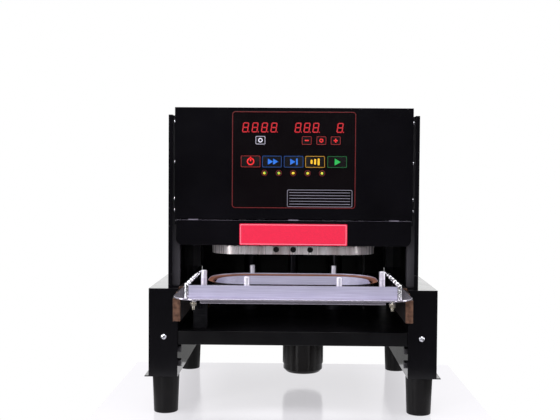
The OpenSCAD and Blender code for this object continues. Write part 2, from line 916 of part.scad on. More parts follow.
// Cap screws that hold the head plate on the columns
module head_plate_screws() {
    top = head_plate_z + head_plate_t;
    color("#30313a") both_sides() {
        bar_z(head_screw_d, head_plate_t + head_screw_l,
            [column_span / 2, screw_y, head_plate_z - head_screw_l]);
        bar_z(head_screw_head_d, head_screw_head_h, [column_span / 2, screw_y, top]);
    }
}

// Thrust bearing that hangs the press screw on the head plate
module thrust_bearing() {
    color("#7f828c") difference() {
        bar_z(bearing_d, bearing_h, [0, screw_y, head_plate_z + head_plate_t]);
        bar_z(press_screw_d + 2 * run_fit, bearing_h + 2 * over,
            [0, screw_y, head_plate_z + head_plate_t - over]);
    }
}

// Press screw with the collar that rests on the thrust bearing
module press_screw() {
    low = coupling_z + coupling_grip;
    collar_z = head_plate_z + head_plate_t + bearing_h + pass_gap;
    color("#c3c4cc") {
        bar_z(press_screw_d, collar_z + collar_h - low, [0, screw_y, low]);
        bar_z(collar_d, collar_h, [0, screw_y, collar_z]);
    }
}

// Sleeve coupling and the gearbox shaft under it
module press_coupling() {
    low = coupling_z + coupling_grip;
    color("#9a9ca6") difference() {
        union() {
            bar_z(coupling_d, coupling_h, [0, screw_y, coupling_z]);
            bar_z(shaft_d, coupling_z + shaft_drop - deck_z + over, [0, screw_y, deck_z - shaft_drop]);
        }
        bar_z(press_screw_d, coupling_h, [0, screw_y, low]);
    }
}

// Gearbox under the deck, offset between the motor and the screw
module press_gearbox() {
    top = deck_z - deck_t;
    at = [press_motor_side, screw_y - press_motor_fore, top - gearbox_h];
    color("#3a3b42") difference() {
        union() {
            bar_z(2 * gearbox_r, gearbox_h, at);
            bar_z(2 * gearbox_nose_r, gearbox_h, [0, screw_y, top - gearbox_h]);
        }
        bar_z(shaft_d + 2 * pass_gap, gearbox_h, [0, screw_y, deck_z - shaft_drop - pass_gap]);
    }
}

// Motor can below the gearbox, with a stepped and chamfered lower end
module press_motor() {
    r = press_motor_d / 2;
    top = deck_z - deck_t - gearbox_h - press_motor_z;
    at = [press_motor_side, screw_y - press_motor_fore, press_motor_z];
    color("#202126") translate(at) rotate_extrude() {
        polygon([[0, 0], [motor_boss_r, 0], [motor_boss_r, motor_boss_h],
            [r - motor_chamfer - motor_step, motor_boss_h],
            [r - motor_step, motor_boss_h + motor_chamfer],
            [r - motor_step, motor_step_h], [r, motor_step_h], [r, top], [0, top]]);
    }
}

// Press head: block on the columns, arm plate over the heater and two ribs
module press_head() {
    color("#9fa2ac") difference() {
        union() {
            block([-head_w / 2, head_front, head_z], [head_w / 2, head_front + head_d, head_z + head_h]);
            block([-arm_w / 2, arm_front, arm_z], [arm_w / 2, head_front + over, arm_z + arm_t]);
            both_sides() translate([rib_x + rib_t / 2, 0, arm_z + arm_t]) rotate([0, -90, 0]) {
                linear_extrude(height = rib_t) polygon([[-over, arm_front], [rib_low, arm_front],
                    [rib_high, head_front + over], [-over, head_front + over]]);
            }
        }
        both_sides() bar_z(column_d + 2 * bush_wall, head_h + 2 * over,
            [column_span / 2, screw_y, head_z - over]);
        bar_z(nut_body_d, head_h + 2 * over, [0, screw_y, head_z - over]);
        for (sx = [-1, 1], sy = [-1, 1]) {
            bar_z(spacer_screw_d, arm_t + 2 * over,
                [sx * spacer_x, heater_mid + sy * spacer_y, arm_z - over]);
        }
    }
}

// Flanged nut of the press screw, from below
module press_nut() {
    color("#b08a45") difference() {
        union() {
            bar_z(nut_body_d, head_h, [0, screw_y, head_z]);
            bar_z(nut_flange_d, nut_flange_t, [0, screw_y, head_z - nut_flange_t]);
        }
        bar_z(press_screw_d + 2 * run_fit, head_h + nut_flange_t + 2 * over,
            [0, screw_y, head_z - nut_flange_t - over]);
    }
}

// Flanged bushes between the head and the columns
module guide_bushes() {
    color("#b9994f") both_sides() difference() {
        union() {
            bar_z(column_d + 2 * bush_wall, head_h, [column_span / 2, screw_y, head_z]);
            bar_z(bush_flange_d, bush_flange_t, [column_span / 2, screw_y, head_z - bush_flange_t]);
        }
        bar_z(column_d + 2 * run_fit, head_h + bush_flange_t + 2 * over,
            [column_span / 2, screw_y, head_z - bush_flange_t - over]);
    }
}

// Insulating spacers and their screws between the arm plate and the heater
module heat_spacers() {
    for (sx = [-1, 1], sy = [-1, 1]) {
        at = [sx * spacer_x, heater_mid + sy * spacer_y, heater_top];
        color("#cfc4a6") bar_z(spacer_d, spacer_h, at);
        color("#b0b0b8") {
            bar_z(spacer_screw_d, arm_t, at + [0, 0, spacer_h]);
            bar_z(spacer_d * 2 / 3, spacer_screw_d, at + [0, 0, spacer_h + arm_t]);
        }
    }
}

// Heater plate with cartridge bores and notches that clear the side pins
module heater_plate() {
    color("#9b948c") difference() {
        round_slab(heater_w, heater_d, heater_r, heater_t, [0, heater_mid, heater_z]);
        for (i = [-1, 0, 1]) {
            bar_y(cartridge_d, cartridge_reach + over,
                [i * cartridge_pitch, heater_mid - heater_d / 2 - over, cartridge_z]);
        }
        both_sides() bar_z(2 * notch_r, heater_t + 2 * over, [side_pin_x, heater_mid, heater_z - over]);
        bar_x(thermo_d, thermo_l + over, [thermo_x, heater_mid + spacer_y / 2, heater_z + heater_t / 2]);
    }
}

// Cartridge heaters in their bores
module cartridge_heaters() {
    y = heater_mid - heater_d / 2 + cartridge_inset;
    color("#6b6a70") for (i = [-1, 0, 1]) {
        bar_y(cartridge_d, cartridge_reach - cartridge_inset,
            [i * cartridge_pitch, y, cartridge_z]);
    }
}

// Thermocouple in the heater plate
module thermocouple() {
    color("#b8b8c0") bar_x(thermo_d, thermo_l,
        [thermo_x, heater_mid + spacer_y / 2, heater_z + heater_t / 2]);
}

// Fixed rail members on the leg box walls: channels open to the bay
module outer_rails() {
    y0 = front_y + fixed_rail_set;
    x0 = bay_x - rail_gap + pass_gap;
    color("#9a9ca4") both_sides() difference() {
        block([x0, y0, rail_z], [bay_x, y0 + fixed_rail_len, rail_z + rail_h - rail_drop]);
        block([x0 - over, y0 - over, rail_z + rail_sheet],
            [bay_x - rail_sheet, y0 + fixed_rail_len + over, rail_z + rail_h - rail_drop - rail_sheet]);
    }
}

// Middle rail members: a web inside the fixed channel and a tongue inside the moving one
module middle_rails() {
    y0 = carriage_y + rail_front + drawer_travel / 2 + rail_sheet + pass_gap;
    y1 = y0 + rail_len - rail_sheet - pass_gap;
    web = rail_gap - rail_sheet - 2 * pass_gap;
    x1 = bay_x - rail_sheet - pass_gap;
    z0 = rail_z + rail_sheet + pass_gap;
    z1 = rail_z + rail_h - rail_drop - rail_sheet - pass_gap;
    tongue = rail_h / 4;
    color("#b4b6be") both_sides() {
        block([x1 - web, y0, z0], [x1, y1, z1]);
        block([x1 - web - rail_w / 2, y0, z0 + tongue], [x1 - web, y1, z1 - tongue]);
    }
}

// Moving rail members under the carriage plate: channels open outwards, with their fronts closed
module inner_rails() {
    y0 = carriage_y + rail_front;
    x1 = carriage_w / 2;
    color("#a79a94") both_sides() difference() {
        block([x1 - rail_w, y0, carriage_z - rail_h], [x1, y0 + rail_len, carriage_z]);
        block([x1 - rail_w + rail_sheet, y0 + rail_sheet, carriage_z - rail_h + rail_sheet],
            [x1 + over, y0 + rail_len + over, carriage_z - rail_sheet]);
    }
}

// Carriage plate with round front corners, the container opening and a rear tab for the nut block
module carriage_plate() {
    x1 = carriage_w / 2;
    w = seat_w + carriage_cut_slack;
    d = seat_d + carriage_cut_slack;
    color("#cfcdd8") difference() {
        union() {
            block([-x1, carriage_y + carriage_r, carriage_z], [x1, carriage_rear, mould_z]);
            block([-x1 + carriage_r, carriage_y, carriage_z], [x1 - carriage_r, carriage_rear, mould_z]);
            both_sides() bar_z(2 * carriage_r, carriage_t,
                [x1 - carriage_r, carriage_y + carriage_r, carriage_z]);
            block([-x1, carriage_rear - over, carriage_z], [-x1 + tab_w, carriage_rear + tab_d, mould_z]);
        }
        round_slab(w, d, carriage_cut_r, carriage_t + 2 * over, [0, mould_mid, carriage_z - over]);
        for (p = stud_places) bar_z(stud_hole_d, carriage_t + 2 * over, [p[0], p[1], carriage_z - over]);
    }
}

// Places of the four studs under the mould
stud_places = [
    for (sx = [-1, 1], y = [mould_y + stud_front, mould_y + mould_d - stud_front]) [sx * stud_x, y]
];

// Folded tray that stiffens the carriage plate from below
module carriage_tray() {
    w = seat_w + carriage_cut_slack;
    d = seat_d + carriage_cut_slack;
    color("#8f8c95") difference() {
        block([-tray_w / 2, mould_mid - tray_d / 2, carriage_z - tray_h],
            [tray_w / 2, mould_mid + tray_d / 2, carriage_z]);
        block([-tray_w / 2 + tray_t, mould_mid - tray_d / 2 + tray_t, carriage_z - tray_h - over],
            [tray_w / 2 - tray_t, mould_mid + tray_d / 2 - tray_t, carriage_z - tray_t]);
        round_slab(w, d, carriage_cut_r, tray_t + 2 * over, [0, mould_mid, carriage_z - tray_t - over]);
    }
}

// Mould: thick plate with the container opening, the rim ledge and its pin and stud holes
module mould_plate() {
    color("#b0aac8") difference() {
        block([-mould_w / 2, mould_y, mould_z], [mould_w / 2, mould_y + mould_d, mould_top]);
        round_slab(seat_w, seat_d, seat_r, mould_t + 2 * over, [0, mould_mid, mould_z - over]);
        round_slab(seat_w + 2 * ledge, seat_d + 2 * ledge, seat_r + ledge, ledge_depth + over,
            [0, mould_mid, mould_top - ledge_depth]);
        for (p = pin_places) bar_z(p[2], pin_root + over, [p[0], p[1], mould_top - pin_root]);
        for (p = stud_places) bar_z(stud_d, stud_root + over, [p[0], p[1], mould_z - over]);
    }
}

// Silicone seal on the rim ledge
module rim_seal() {
    inner = seat_w + 2 * (ledge - seal_w);
    inner_d = seat_d + 2 * (ledge - seal_w);
    color("#c9603c") difference() {
        round_slab(seat_w + 2 * ledge, seat_d + 2 * ledge, seat_r + ledge, seal_t,
            [0, mould_mid, mould_top - ledge_depth]);
        round_slab(inner, inner_d, seat_r + ledge - seal_w, seal_t + 2 * over,
            [0, mould_mid, mould_top - ledge_depth - over]);
    }
}

// Places and diameters of the six locating pins
pin_places = [
    for (sx = [-1, 1], y = [mould_y + pin_edge, mould_y + mould_d - pin_edge]) [sx * front_pin_x, y, pin_d],
    for (sx = [-1, 1]) [sx * side_pin_x, mould_mid, side_pin_d]
];

// Locating pins with chamfered tops
module locating_pins() {
    color("#d4d2de") for (p = pin_places) {
        r = p[2] / 2;
        translate([p[0], p[1], mould_top - pin_root]) rotate_extrude() {
            polygon([[0, 0], [r, 0], [r, pin_root + pin_h - pin_chamfer], [r - pin_chamfer, pin_root + pin_h],
                [0, pin_root + pin_h]]);
        }
    }
}

// Round bar with ring grooves and a domed top
module ringed_bar() {
    bar_h = mould_t + rib_rise - rib_dome;
    ring_pitch = (bar_h + rib_groove) / rib_rings;
    cylinder(d = rib_bar_d - 2 * rib_groove_depth, h = bar_h);
    for (i = [0 : rib_rings - 1]) {
        translate([0, 0, i * ring_pitch]) cylinder(d = rib_bar_d, h = ring_pitch - rib_groove);
    }
    translate([0, 0, bar_h]) cylinder(d1 = rib_bar_d, d2 = rib_bar_d - 2 * rib_dome, h = rib_dome);
}

// Ribbed edging along the sides of the mould: a strip with round ribs that stand above it
module edge_ribs() {
    x1 = mould_w / 2 + rib_strip_t;
    pitch = (mould_d - rib_bar_d) / (rib_bar_count - 1);
    color("#dddce6") both_sides() {
        block([mould_w / 2, mould_y, mould_z], [x1, mould_y + mould_d, mould_top]);
        for (i = [0 : rib_bar_count - 1]) {
            translate([x1 + rib_bar_d / 2 - rib_bite, mould_y + rib_bar_d / 2 + i * pitch, mould_z]) {
                ringed_bar();
            }
        }
    }
}

// Studs under the mould with their washers and nuts
module float_studs() {
    washer_z = carriage_z - spring_space - washer_t;
    nut_z = washer_z - nut_h;
    color("#d6d5de") for (p = stud_places) {
        bar_z(stud_d, mould_z + stud_root - nut_z + stud_tip, [p[0], p[1], nut_z - stud_tip]);
        difference() {
            union() {
                bar_z(washer_d, washer_t, [p[0], p[1], washer_z]);
                translate([p[0], p[1], nut_z]) cylinder(d = nut_af_d, h = nut_h, $fn = 6);
            }
            bar_z(stud_d, washer_t + nut_h + 2 * over, [p[0], p[1], nut_z - over]);
        }
    }
}

// Helix tube: rings of points along a coil, joined into one closed polyhedron
function coil_point(turns, mean_r, rise, t) =
    [mean_r * cos(360 * turns * t), mean_r * sin(360 * turns * t), rise * t];
function coil_ring(turns, mean_r, wire_r, rise, t) =
    let (c = coil_point(turns, mean_r, rise, t), a = 360 * turns * t,
        out = [cos(a), sin(a), 0], slope = rise / (2 * PI * mean_r * turns),
        up = [-sin(a) * -slope, cos(a) * -slope, 1] / sqrt(1 + slope * slope))
    [for (k = [0 : spring_sides - 1]) let (b = 360 * k / spring_sides)
        c + wire_r * (cos(b) * out + sin(b) * up)];

module coil(turns, mean_r, wire_r, rise) {
    steps = round(turns * spring_rings);
    points = [for (i = [0 : steps]) each coil_ring(turns, mean_r, wire_r, rise, i / steps)];
    n = spring_sides;
    walls = [for (i = [0 : steps - 1], k = [0 : n - 1]) let (a = i * n + k, b = i * n + (k + 1) % n)
        each [[a, a + n, b], [b, a + n, b + n]]];
    first = [for (k = [1 : n - 2]) [0, k, k + 1]];
    last = [for (k = [1 : n - 2]) [steps * n, steps * n + k + 1, steps * n + k]];
    polyhedron(points = points, faces = concat(walls, first, last));
}

// Springs round the studs, between the carriage plate and the washers
spring_rise = spring_space - 2 * spring_seat - spring_wire;
spring_gap_to_itself = spring_rise / spring_turns - spring_wire;
echo(spring_gap_to_itself = spring_gap_to_itself);

module float_springs() {
    z = carriage_z - spring_space + spring_seat + spring_wire / 2;
    color("#c4c2cc") for (p = stud_places) translate([p[0], p[1], z]) {
        coil(spring_turns, spring_mean_r, spring_wire / 2, spring_rise);
    }
}

// Nut block under the rear tab of the carriage
module drawer_nut_block() {
    y1 = carriage_rear + tab_d;
    color("#b08a45") difference() {
        block([drawer_screw_x - nut_block_w / 2, y1 - nut_block_d, drawer_screw_z - nut_block_drop],
            [drawer_screw_x + nut_block_w / 2, y1, carriage_z]);
        bar_y(drawer_screw_d + 2 * run_fit, nut_block_d + 2 * over,
            [drawer_screw_x, y1 - nut_block_d - over, drawer_screw_z]);
    }
}

// Drawer screw with the coupler on its rear end
module drawer_screw() {
    y0 = front_y + front_block_set - screw_nose;
    y1 = front_y + coupler_set;
    at = [drawer_screw_x, y0, drawer_screw_z];
    color("#c3c4cc") bar_y(drawer_screw_d, y1 - y0, at);
    color("#9a9ca6") difference() {
        bar_y(coupler_d, coupler_l, [drawer_screw_x, y1, drawer_screw_z]);
        bar_y(motor_shaft_d + 2 * run_fit, coupler_l / 2 + over,
            [drawer_screw_x, y1 + coupler_l / 2, drawer_screw_z]);
    }
}

// Bearing blocks of the drawer screw on the deck
module screw_blocks() {
    color("#8e9098") for (set = [front_block_set, rear_block_set]) difference() {
        block([drawer_screw_x - block_w / 2, front_y + set, deck_z],
            [drawer_screw_x + block_w / 2, front_y + set + block_d, drawer_screw_z + block_rise]);
        bar_y(drawer_screw_d + 2 * run_fit, block_d + 2 * over,
            [drawer_screw_x, front_y + set - over, drawer_screw_z]);
    }
}

// Drawer gearmotor on its foot
module drawer_motor() {
    y0 = front_y + drawer_motor_set + motor_neck;
    r = drawer_motor_d / 2;
    x = drawer_screw_x;
    color("#43444c") {
        bar_y(drawer_motor_d, drawer_motor_l, [x, y0, drawer_screw_z]);
        bar_y(motor_shaft_d, coupler_l / 2 + motor_neck - over,
            [x, y0 + over - coupler_l / 2 - motor_neck, drawer_screw_z]);
        block([x - r, y0, deck_z], [x + r, y0 + motor_foot_t, drawer_screw_z]);
        block([x - r, y0, deck_z], [x + r, y0 + motor_foot_d, deck_z + motor_foot_t]);
    }
}

// Limit switches of the press on a strip beside the column
module limit_switches() {
    y0 = screw_y - limit_d / 2;
    x1 = limit_rail_x;
    color("#55565e") block([x1, y0, deck_z],
        [x1 + limit_rail_t, y0 + limit_w, limit_zs[1] + 2 * limit_h]);
    color("#2c2b30") for (z = limit_zs) block([x1 - limit_d, y0, z], [x1, y0 + limit_w, z + limit_h]);
}

// Power supply on the rear panel
module power_supply() {
    y1 = rear_y - sheet_t;
    color("#8a8c92") block([-supply_w / 2, y1 - supply_gap - supply_d, supply_z],
        [supply_w / 2, y1 - supply_gap, supply_z + supply_h]);
    color("#6b6a70") for (sx = [-1, 1], z = [supply_z + supply_inset, supply_z + supply_h - supply_inset]) {
        bar_y(supply_leg_d, supply_gap, [sx * (supply_w / 2 - supply_inset), y1 - supply_gap, z]);
    }
}

left_leg_box();
right_leg_box();
rubber_feet();
foot_bolts();
front_leg_screws();
inner_leg_bolts();
deck_plate();
corner_posts();
left_side_panel();
right_side_panel();
side_panel_screws();
top_cover();
rear_panel();
power_inlet();
rocker_bezel();
power_rocker();
front_fascia();
fascia_fixings();
control_overlay();
control_keys();
status_lamps();
digit_modules();
control_board();
safety_door();
door_plate();
door_rod();
door_switch();
guide_columns();
column_flanges();
head_plate();
head_plate_screws();
thrust_bearing();
press_screw();
press_coupling();
press_gearbox();
press_motor();
press_head();
press_nut();
guide_bushes();
heat_spacers();
heater_plate();
cartridge_heaters();
thermocouple();
outer_rails();
middle_rails();
inner_rails();
carriage_plate();
carriage_tray();
mould_plate();
rim_seal();
locating_pins();
edge_ribs();
float_studs();
float_springs();
drawer_nut_block();
drawer_screw();
screw_blocks();
drawer_motor();
limit_switches();
power_supply();
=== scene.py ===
import json
from math import pi, radians, tan

import bpy
from mathutils import Matrix, Vector

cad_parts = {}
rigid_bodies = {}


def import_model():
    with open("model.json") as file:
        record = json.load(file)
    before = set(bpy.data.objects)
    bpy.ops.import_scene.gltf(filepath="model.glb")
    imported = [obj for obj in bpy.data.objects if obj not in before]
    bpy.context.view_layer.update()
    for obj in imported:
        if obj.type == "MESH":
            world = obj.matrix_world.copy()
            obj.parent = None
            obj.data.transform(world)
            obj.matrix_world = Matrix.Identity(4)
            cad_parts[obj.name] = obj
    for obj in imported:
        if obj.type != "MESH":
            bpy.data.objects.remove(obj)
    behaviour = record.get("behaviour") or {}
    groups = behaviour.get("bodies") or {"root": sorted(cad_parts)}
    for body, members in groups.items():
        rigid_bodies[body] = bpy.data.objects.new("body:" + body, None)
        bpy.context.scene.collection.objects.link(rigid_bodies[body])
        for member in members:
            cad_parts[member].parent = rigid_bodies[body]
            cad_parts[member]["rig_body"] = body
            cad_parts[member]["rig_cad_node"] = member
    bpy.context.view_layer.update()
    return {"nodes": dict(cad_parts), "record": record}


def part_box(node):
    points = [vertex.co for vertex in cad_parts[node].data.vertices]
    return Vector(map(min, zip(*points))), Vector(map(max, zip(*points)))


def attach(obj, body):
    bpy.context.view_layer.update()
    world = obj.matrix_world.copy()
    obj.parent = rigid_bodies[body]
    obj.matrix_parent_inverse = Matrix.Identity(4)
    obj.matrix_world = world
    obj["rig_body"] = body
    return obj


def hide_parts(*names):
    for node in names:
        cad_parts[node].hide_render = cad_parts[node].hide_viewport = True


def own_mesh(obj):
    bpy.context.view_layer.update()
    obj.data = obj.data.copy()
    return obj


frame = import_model()
nodes = frame["nodes"]
MM = 0.001

# The view: a camera 1.2 m in front of the leg boxes, at three quarters of the machine's height,
# turned and tipped slightly as the photographer held it.
eye_distance = 1.2
eye_height = 0.3235
focal_px = 876
photo_px = 560
sensor = 36
leg_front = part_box("left_leg_box")[0].y
bpy.ops.object.camera_add(location=(0, leg_front - eye_distance, eye_height))
camera = bpy.context.object
camera.data.lens = focal_px / photo_px * sensor
camera.data.sensor_width = sensor
pitch = radians(1.9)
yaw = radians(0.88)
roll = radians(0.4)
aim = (Matrix.Rotation(yaw, 4, "Z") @ Matrix.Rotation(pi / 2 - pitch, 4, "X")
       @ Matrix.Rotation(roll, 4, "Z"))
camera.matrix_world = Matrix.Translation(camera.location) @ aim
bpy.context.scene.camera = camera
bpy.context.scene.view_settings.view_transform = "Standard"

# The studio: a pale glossy table that ends just behind the machine, a white ground that only the
# camera sees, a white surround, and soft boxes above, in front and on both sides.
table_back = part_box("rear_panel")[1].y + 0.022
table_half = 0.275
table_front = -0.36
table_drop = 0.0004
painted_shade_span = (0.10, 0.22)
table_lift = (0.45, 0.72)
ground_size = 12
ground_drop = 0.02
world_light = 0.35
surround_turn = (-0.30, 0.20)
surround_rise = (0.55, 0.80)
surround_behind = 1.5
surround_front = 0.02


def node_tree(name):
    """A new material with its tree and its Principled shader"""
    material = bpy.data.materials.new(name)
    material.use_nodes = True
    tree = material.node_tree
    shader = tree.nodes["Principled BSDF"]
    return material, tree, shader


def math_node(tree, operation, first, second):
    """The result of a sum on two inputs, each a number or a socket"""
    node = tree.nodes.new("ShaderNodeMath")
    node.operation = operation
    for socket, value in zip(node.inputs, (first, second)):
        if isinstance(value, (int, float)):
            socket.default_value = value
        else:
            tree.links.new(value, socket)
    return node.outputs[0]


def seen_or_mirrored(tree):
    """1 for rays from the camera and in reflections, 0 for light on the object"""
    path = tree.nodes.new("ShaderNodeLightPath").outputs
    either = math_node(tree, "MAXIMUM", path["Is Camera Ray"], path["Is Glossy Ray"])
    return math_node(tree, "MAXIMUM", either, path["Is Transmission Ray"])


def ramped(tree, value, start, end, low, high):
    """The value carried from one range to another"""
    shade = tree.nodes.new("ShaderNodeMapRange")
    for name, number in (("From Min", start), ("From Max", end),
                         ("To Min", low), ("To Max", high)):
        shade.inputs[name].default_value = number
    tree.links.new(value, shade.inputs["Value"])
    return shade.outputs["Result"]


def seen_only(tree):
    """1 for rays from the camera alone"""
    return tree.nodes.new("ShaderNodeLightPath").outputs["Is Camera Ray"]


def glowing(name, colour, seen):
    """A stage material that mixes its own white into what the chosen rays see"""
    material, tree, shader = node_tree(name)
    glow = tree.nodes.new("ShaderNodeEmission")
    mix = tree.nodes.new("ShaderNodeMixShader")
    shader.inputs["Base Color"].default_value = (*colour, 1)
    tree.links.new(seen(tree), mix.inputs[0])
    tree.links.new(shader.outputs[0], mix.inputs[1])
    tree.links.new(glow.outputs[0], mix.inputs[2])
    tree.links.new(mix.outputs[0], tree.nodes["Material Output"].inputs[0])
    return material, shader, glow


bpy.ops.mesh.primitive_plane_add(size=1)
table = bpy.context.object
table.name = "table"
table.scale = (2 * table_half, table_back - table_front, 1)
table.location = (0, (table_back + table_front) / 2, -table_drop)
bpy.ops.object.transform_apply(location=True, rotation=True, scale=True)


# The table glows less in its middle, which paints a broad shade under the machine; the real shadow
# and reflections show more there.
def glow_with_painted_shade(tree):
    """The glow grows towards the sides, leaving a painted shade in the middle under the machine"""
    place = tree.nodes.new("ShaderNodeTexCoord")
    split = tree.nodes.new("ShaderNodeSeparateXYZ")
    tree.links.new(place.outputs["Object"], split.inputs[0])
    out = math_node(tree, "ABSOLUTE", split.outputs["X"], 0)
    share = ramped(tree, out, *painted_shade_span, *table_lift)
    return math_node(tree, "MULTIPLY", seen_or_mirrored(tree), share)


material, shader, glow = glowing("table_gloss", (0.72, 0.71, 0.75), glow_with_painted_shade)
glow.inputs["Color"].default_value = (0.98, 0.965, 1.0, 1)
shader.inputs["Roughness"].default_value = 0.14
shader.inputs["Specular IOR Level"].default_value = 0.7
table.data.materials.append(material)

bpy.ops.mesh.primitive_plane_add(size=ground_size, location=(0, 0, -ground_drop))
ground = bpy.context.object
ground.name = "ground"
bpy.ops.object.transform_apply(location=True, rotation=True, scale=True)
ground.data.materials.append(glowing("ground_white", (0.02, 0.02, 0.02), seen_only)[0])

world = bpy.data.worlds.new("studio")
bpy.context.scene.world = world
world.use_nodes = True
tree = world.node_tree
background = tree.nodes["Background"]
background.inputs["Strength"].default_value = world_light
background.inputs["Color"].default_value = (1, 1, 1, 1)
white = tree.nodes.new("ShaderNodeBackground")
white.inputs["Color"].default_value = (1, 1, 1, 1)
mix = tree.nodes.new("ShaderNodeMixShader")
coordinate = tree.nodes.new("ShaderNodeTexCoord")
split = tree.nodes.new("ShaderNodeSeparateXYZ")
tree.links.new(coordinate.outputs["Generated"], split.inputs[0])
behind = ramped(tree, split.outputs["Y"], *surround_turn, surround_front, surround_behind)
above = ramped(tree, split.outputs["Z"], *surround_rise, 0.0, 1.0)
mirrored = math_node(tree, "MAXIMUM", behind, above)
path = tree.nodes.new("ShaderNodeLightPath").outputs
unseen = math_node(tree, "SUBTRACT", 1.0, path["Is Camera Ray"])
mirrored = math_node(tree, "MULTIPLY", unseen, mirrored)
level = math_node(tree, "ADD", path["Is Camera Ray"], mirrored)
tree.links.new(level, white.inputs["Strength"])
tree.links.new(seen_or_mirrored(tree), mix.inputs[0])
tree.links.new(background.outputs[0], mix.inputs[1])
tree.links.new(white.outputs[0], mix.inputs[2])
tree.links.new(mix.outputs[0], tree.nodes["World Output"].inputs[0])


def soft_box(name, place, target, width, height, watts, mirrored=True):
    """A rectangular lamp that looks at its target, in reflections too unless told otherwise"""
    bpy.ops.object.light_add(type="AREA", location=place)
    lamp = bpy.context.object
    lamp.name = name
    lamp.data.shape = "RECTANGLE"
    lamp.data.size = width
    lamp.data.size_y = height
    lamp.data.energy = watts
    lamp.rotation_euler = (Vector(target) - Vector(place)).to_track_quat("-Z", "Y").to_euler()
    lamp.visible_glossy = mirrored


soft_box("top_box", (0, -0.5, 1.7), (0, 0, 0.2), 1.4, 0.9, 15)
soft_box("front_box", (-0.4, -1.9, 1.45), (0, -0.1, 0.2), 1.3, 0.7, 20)
soft_box("left_front_strip", (-1.25, -1.65, 0.5), (0, -0.05, 0.22), 0.32, 1.1, 12)
soft_box("right_front_strip", (1.15, -1.7, 0.5), (0, -0.05, 0.22), 0.06, 1.1, 3)
soft_box("front_fill", (0.2, -2.0, 0.5), (0, -0.1, 0.2), 1.0, 0.6, 8, mirrored=False)
soft_box("left_strip", (-1.5, -0.35, 0.5), (0, 0, 0.25), 0.4, 1.3, 10)
soft_box("right_strip", (1.5, -0.35, 0.5), (0, 0, 0.25), 0.4, 1.3, 8)

# Painted sheet: the leg boxes, side panels, top cover, fascia, door and rear panel are folded
# steel in gloss black, so every fold and cut edge is slightly round and catches the light.
fold_r = 0.55 * MM
wide_fold_r = 1.1 * MM


def only(obj):
    """Selects one object and makes it active"""
    bpy.ops.object.select_all(action="DESELECT")
    obj.select_set(True)
    bpy.context.view_layer.objects.active = obj


def node_body(node):
    """The body that a node rides on"""
    for body, members in frame["record"]["behaviour"]["bodies"].items():
        if node in members:
            return body


def rounded_copy(node, radius, segments=2, angle=35):
    """A welded copy of a node with its edges rounded, which stands for the node"""
    piece = nodes[node].copy()
    piece.data = nodes[node].data.copy()
    bpy.context.scene.collection.objects.link(piece)
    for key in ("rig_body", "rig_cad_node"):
        if key in piece:
            del piece[key]
    piece.parent = None
    piece.name = node + "_finished"
    piece.data.materials.clear()
    only(piece)
    bpy.ops.object.mode_set(mode="EDIT")
    bpy.ops.mesh.select_all(action="SELECT")
    bpy.ops.mesh.remove_doubles(threshold=0.00001)
    bpy.ops.mesh.dissolve_limited(angle_limit=radians(0.6))
    bpy.ops.object.mode_set(mode="OBJECT")
    bevel = piece.modifiers.new("edges", "BEVEL")
    bevel.width = radius
    bevel.segments = segments
    bevel.limit_method = "ANGLE"
    bevel.angle_limit = radians(angle)
    bevel.miter_outer = "MITER_ARC"
    bpy.ops.object.modifier_apply(modifier="edges")
    bpy.ops.object.shade_smooth_by_angle(angle=radians(40))
    normals = piece.modifiers.new("flats", "WEIGHTED_NORMAL")
    normals.weight = 100
    normals.keep_sharp = True
    bpy.ops.object.modifier_apply(modifier="flats")
    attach(piece, node_body(node))
    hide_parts(node)
    return piece


def face_finish(piece, material, direction, least=0.9):
    """The faces that look in one direction take a second material"""
    piece.data.materials.append(material)
    slot = len(piece.data.materials) - 1
    for face in piece.data.polygons:
        if face.normal.dot(Vector(direction)) > least:
            face.material_index = slot


def noise(tree, scale, stretch=(1, 1, 1), detail=3.0):
    """Noise on Object coordinates, in features per metre, stretched along the axes"""
    place = tree.nodes.new("ShaderNodeTexCoord")
    mapping = tree.nodes.new("ShaderNodeMapping")
    mapping.inputs["Scale"].default_value = stretch
    pattern = tree.nodes.new("ShaderNodeTexNoise")
    pattern.inputs["Scale"].default_value = scale
    pattern.inputs["Detail"].default_value = detail
    tree.links.new(place.outputs["Object"], mapping.inputs["Vector"])
    tree.links.new(mapping.outputs["Vector"], pattern.inputs["Vector"])
    return pattern.outputs["Fac"]


def tint(tree, value, first, second, start=0.3, end=0.7):
    """A colour ramp between two colours"""
    ramp = tree.nodes.new("ShaderNodeValToRGB")
    ramp.color_ramp.elements[0].position = start
    ramp.color_ramp.elements[0].color = (*first, 1)
    ramp.color_ramp.elements[1].position = end
    ramp.color_ramp.elements[1].color = (*second, 1)
    tree.links.new(value, ramp.inputs["Fac"])
    return ramp.outputs["Color"]


def bump(tree, shader, value, strength, depth):
    """Surface relief from a pattern, with its depth in metres"""
    relief = tree.nodes.new("ShaderNodeBump")
    relief.inputs["Strength"].default_value = strength
    relief.inputs["Distance"].default_value = depth
    tree.links.new(value, relief.inputs["Height"])
    tree.links.new(relief.outputs["Normal"], shader.inputs["Normal"])


def mottle(tree, shader, pattern, first, second, *ends):
    """The base colour runs between two colours over a pattern"""
    tree.links.new(tint(tree, pattern, first, second, *ends), shader.inputs["Base Color"])


def uneven_gloss(tree, shader, pattern, low, high, start=0.3, end=0.7):
    """The roughness runs between two numbers over a pattern"""
    tree.links.new(ramped(tree, pattern, start, end, low, high), shader.inputs["Roughness"])


def gloss_paint(name, colour, other, rough_low, rough_high, peel=0.12, specular=0.5):
    """Gloss paint: faint mottling, uneven gloss and the fine orange peel of a sprayed coat"""
    material, tree, shader = node_tree(name)
    mottle(tree, shader, noise(tree, 14), colour, other)
    uneven_gloss(tree, shader, noise(tree, 40), rough_low, rough_high)
    bump(tree, shader, noise(tree, 900, detail=1.5), peel, 0.00002)
    shader.inputs["Specular IOR Level"].default_value = specular
    return material


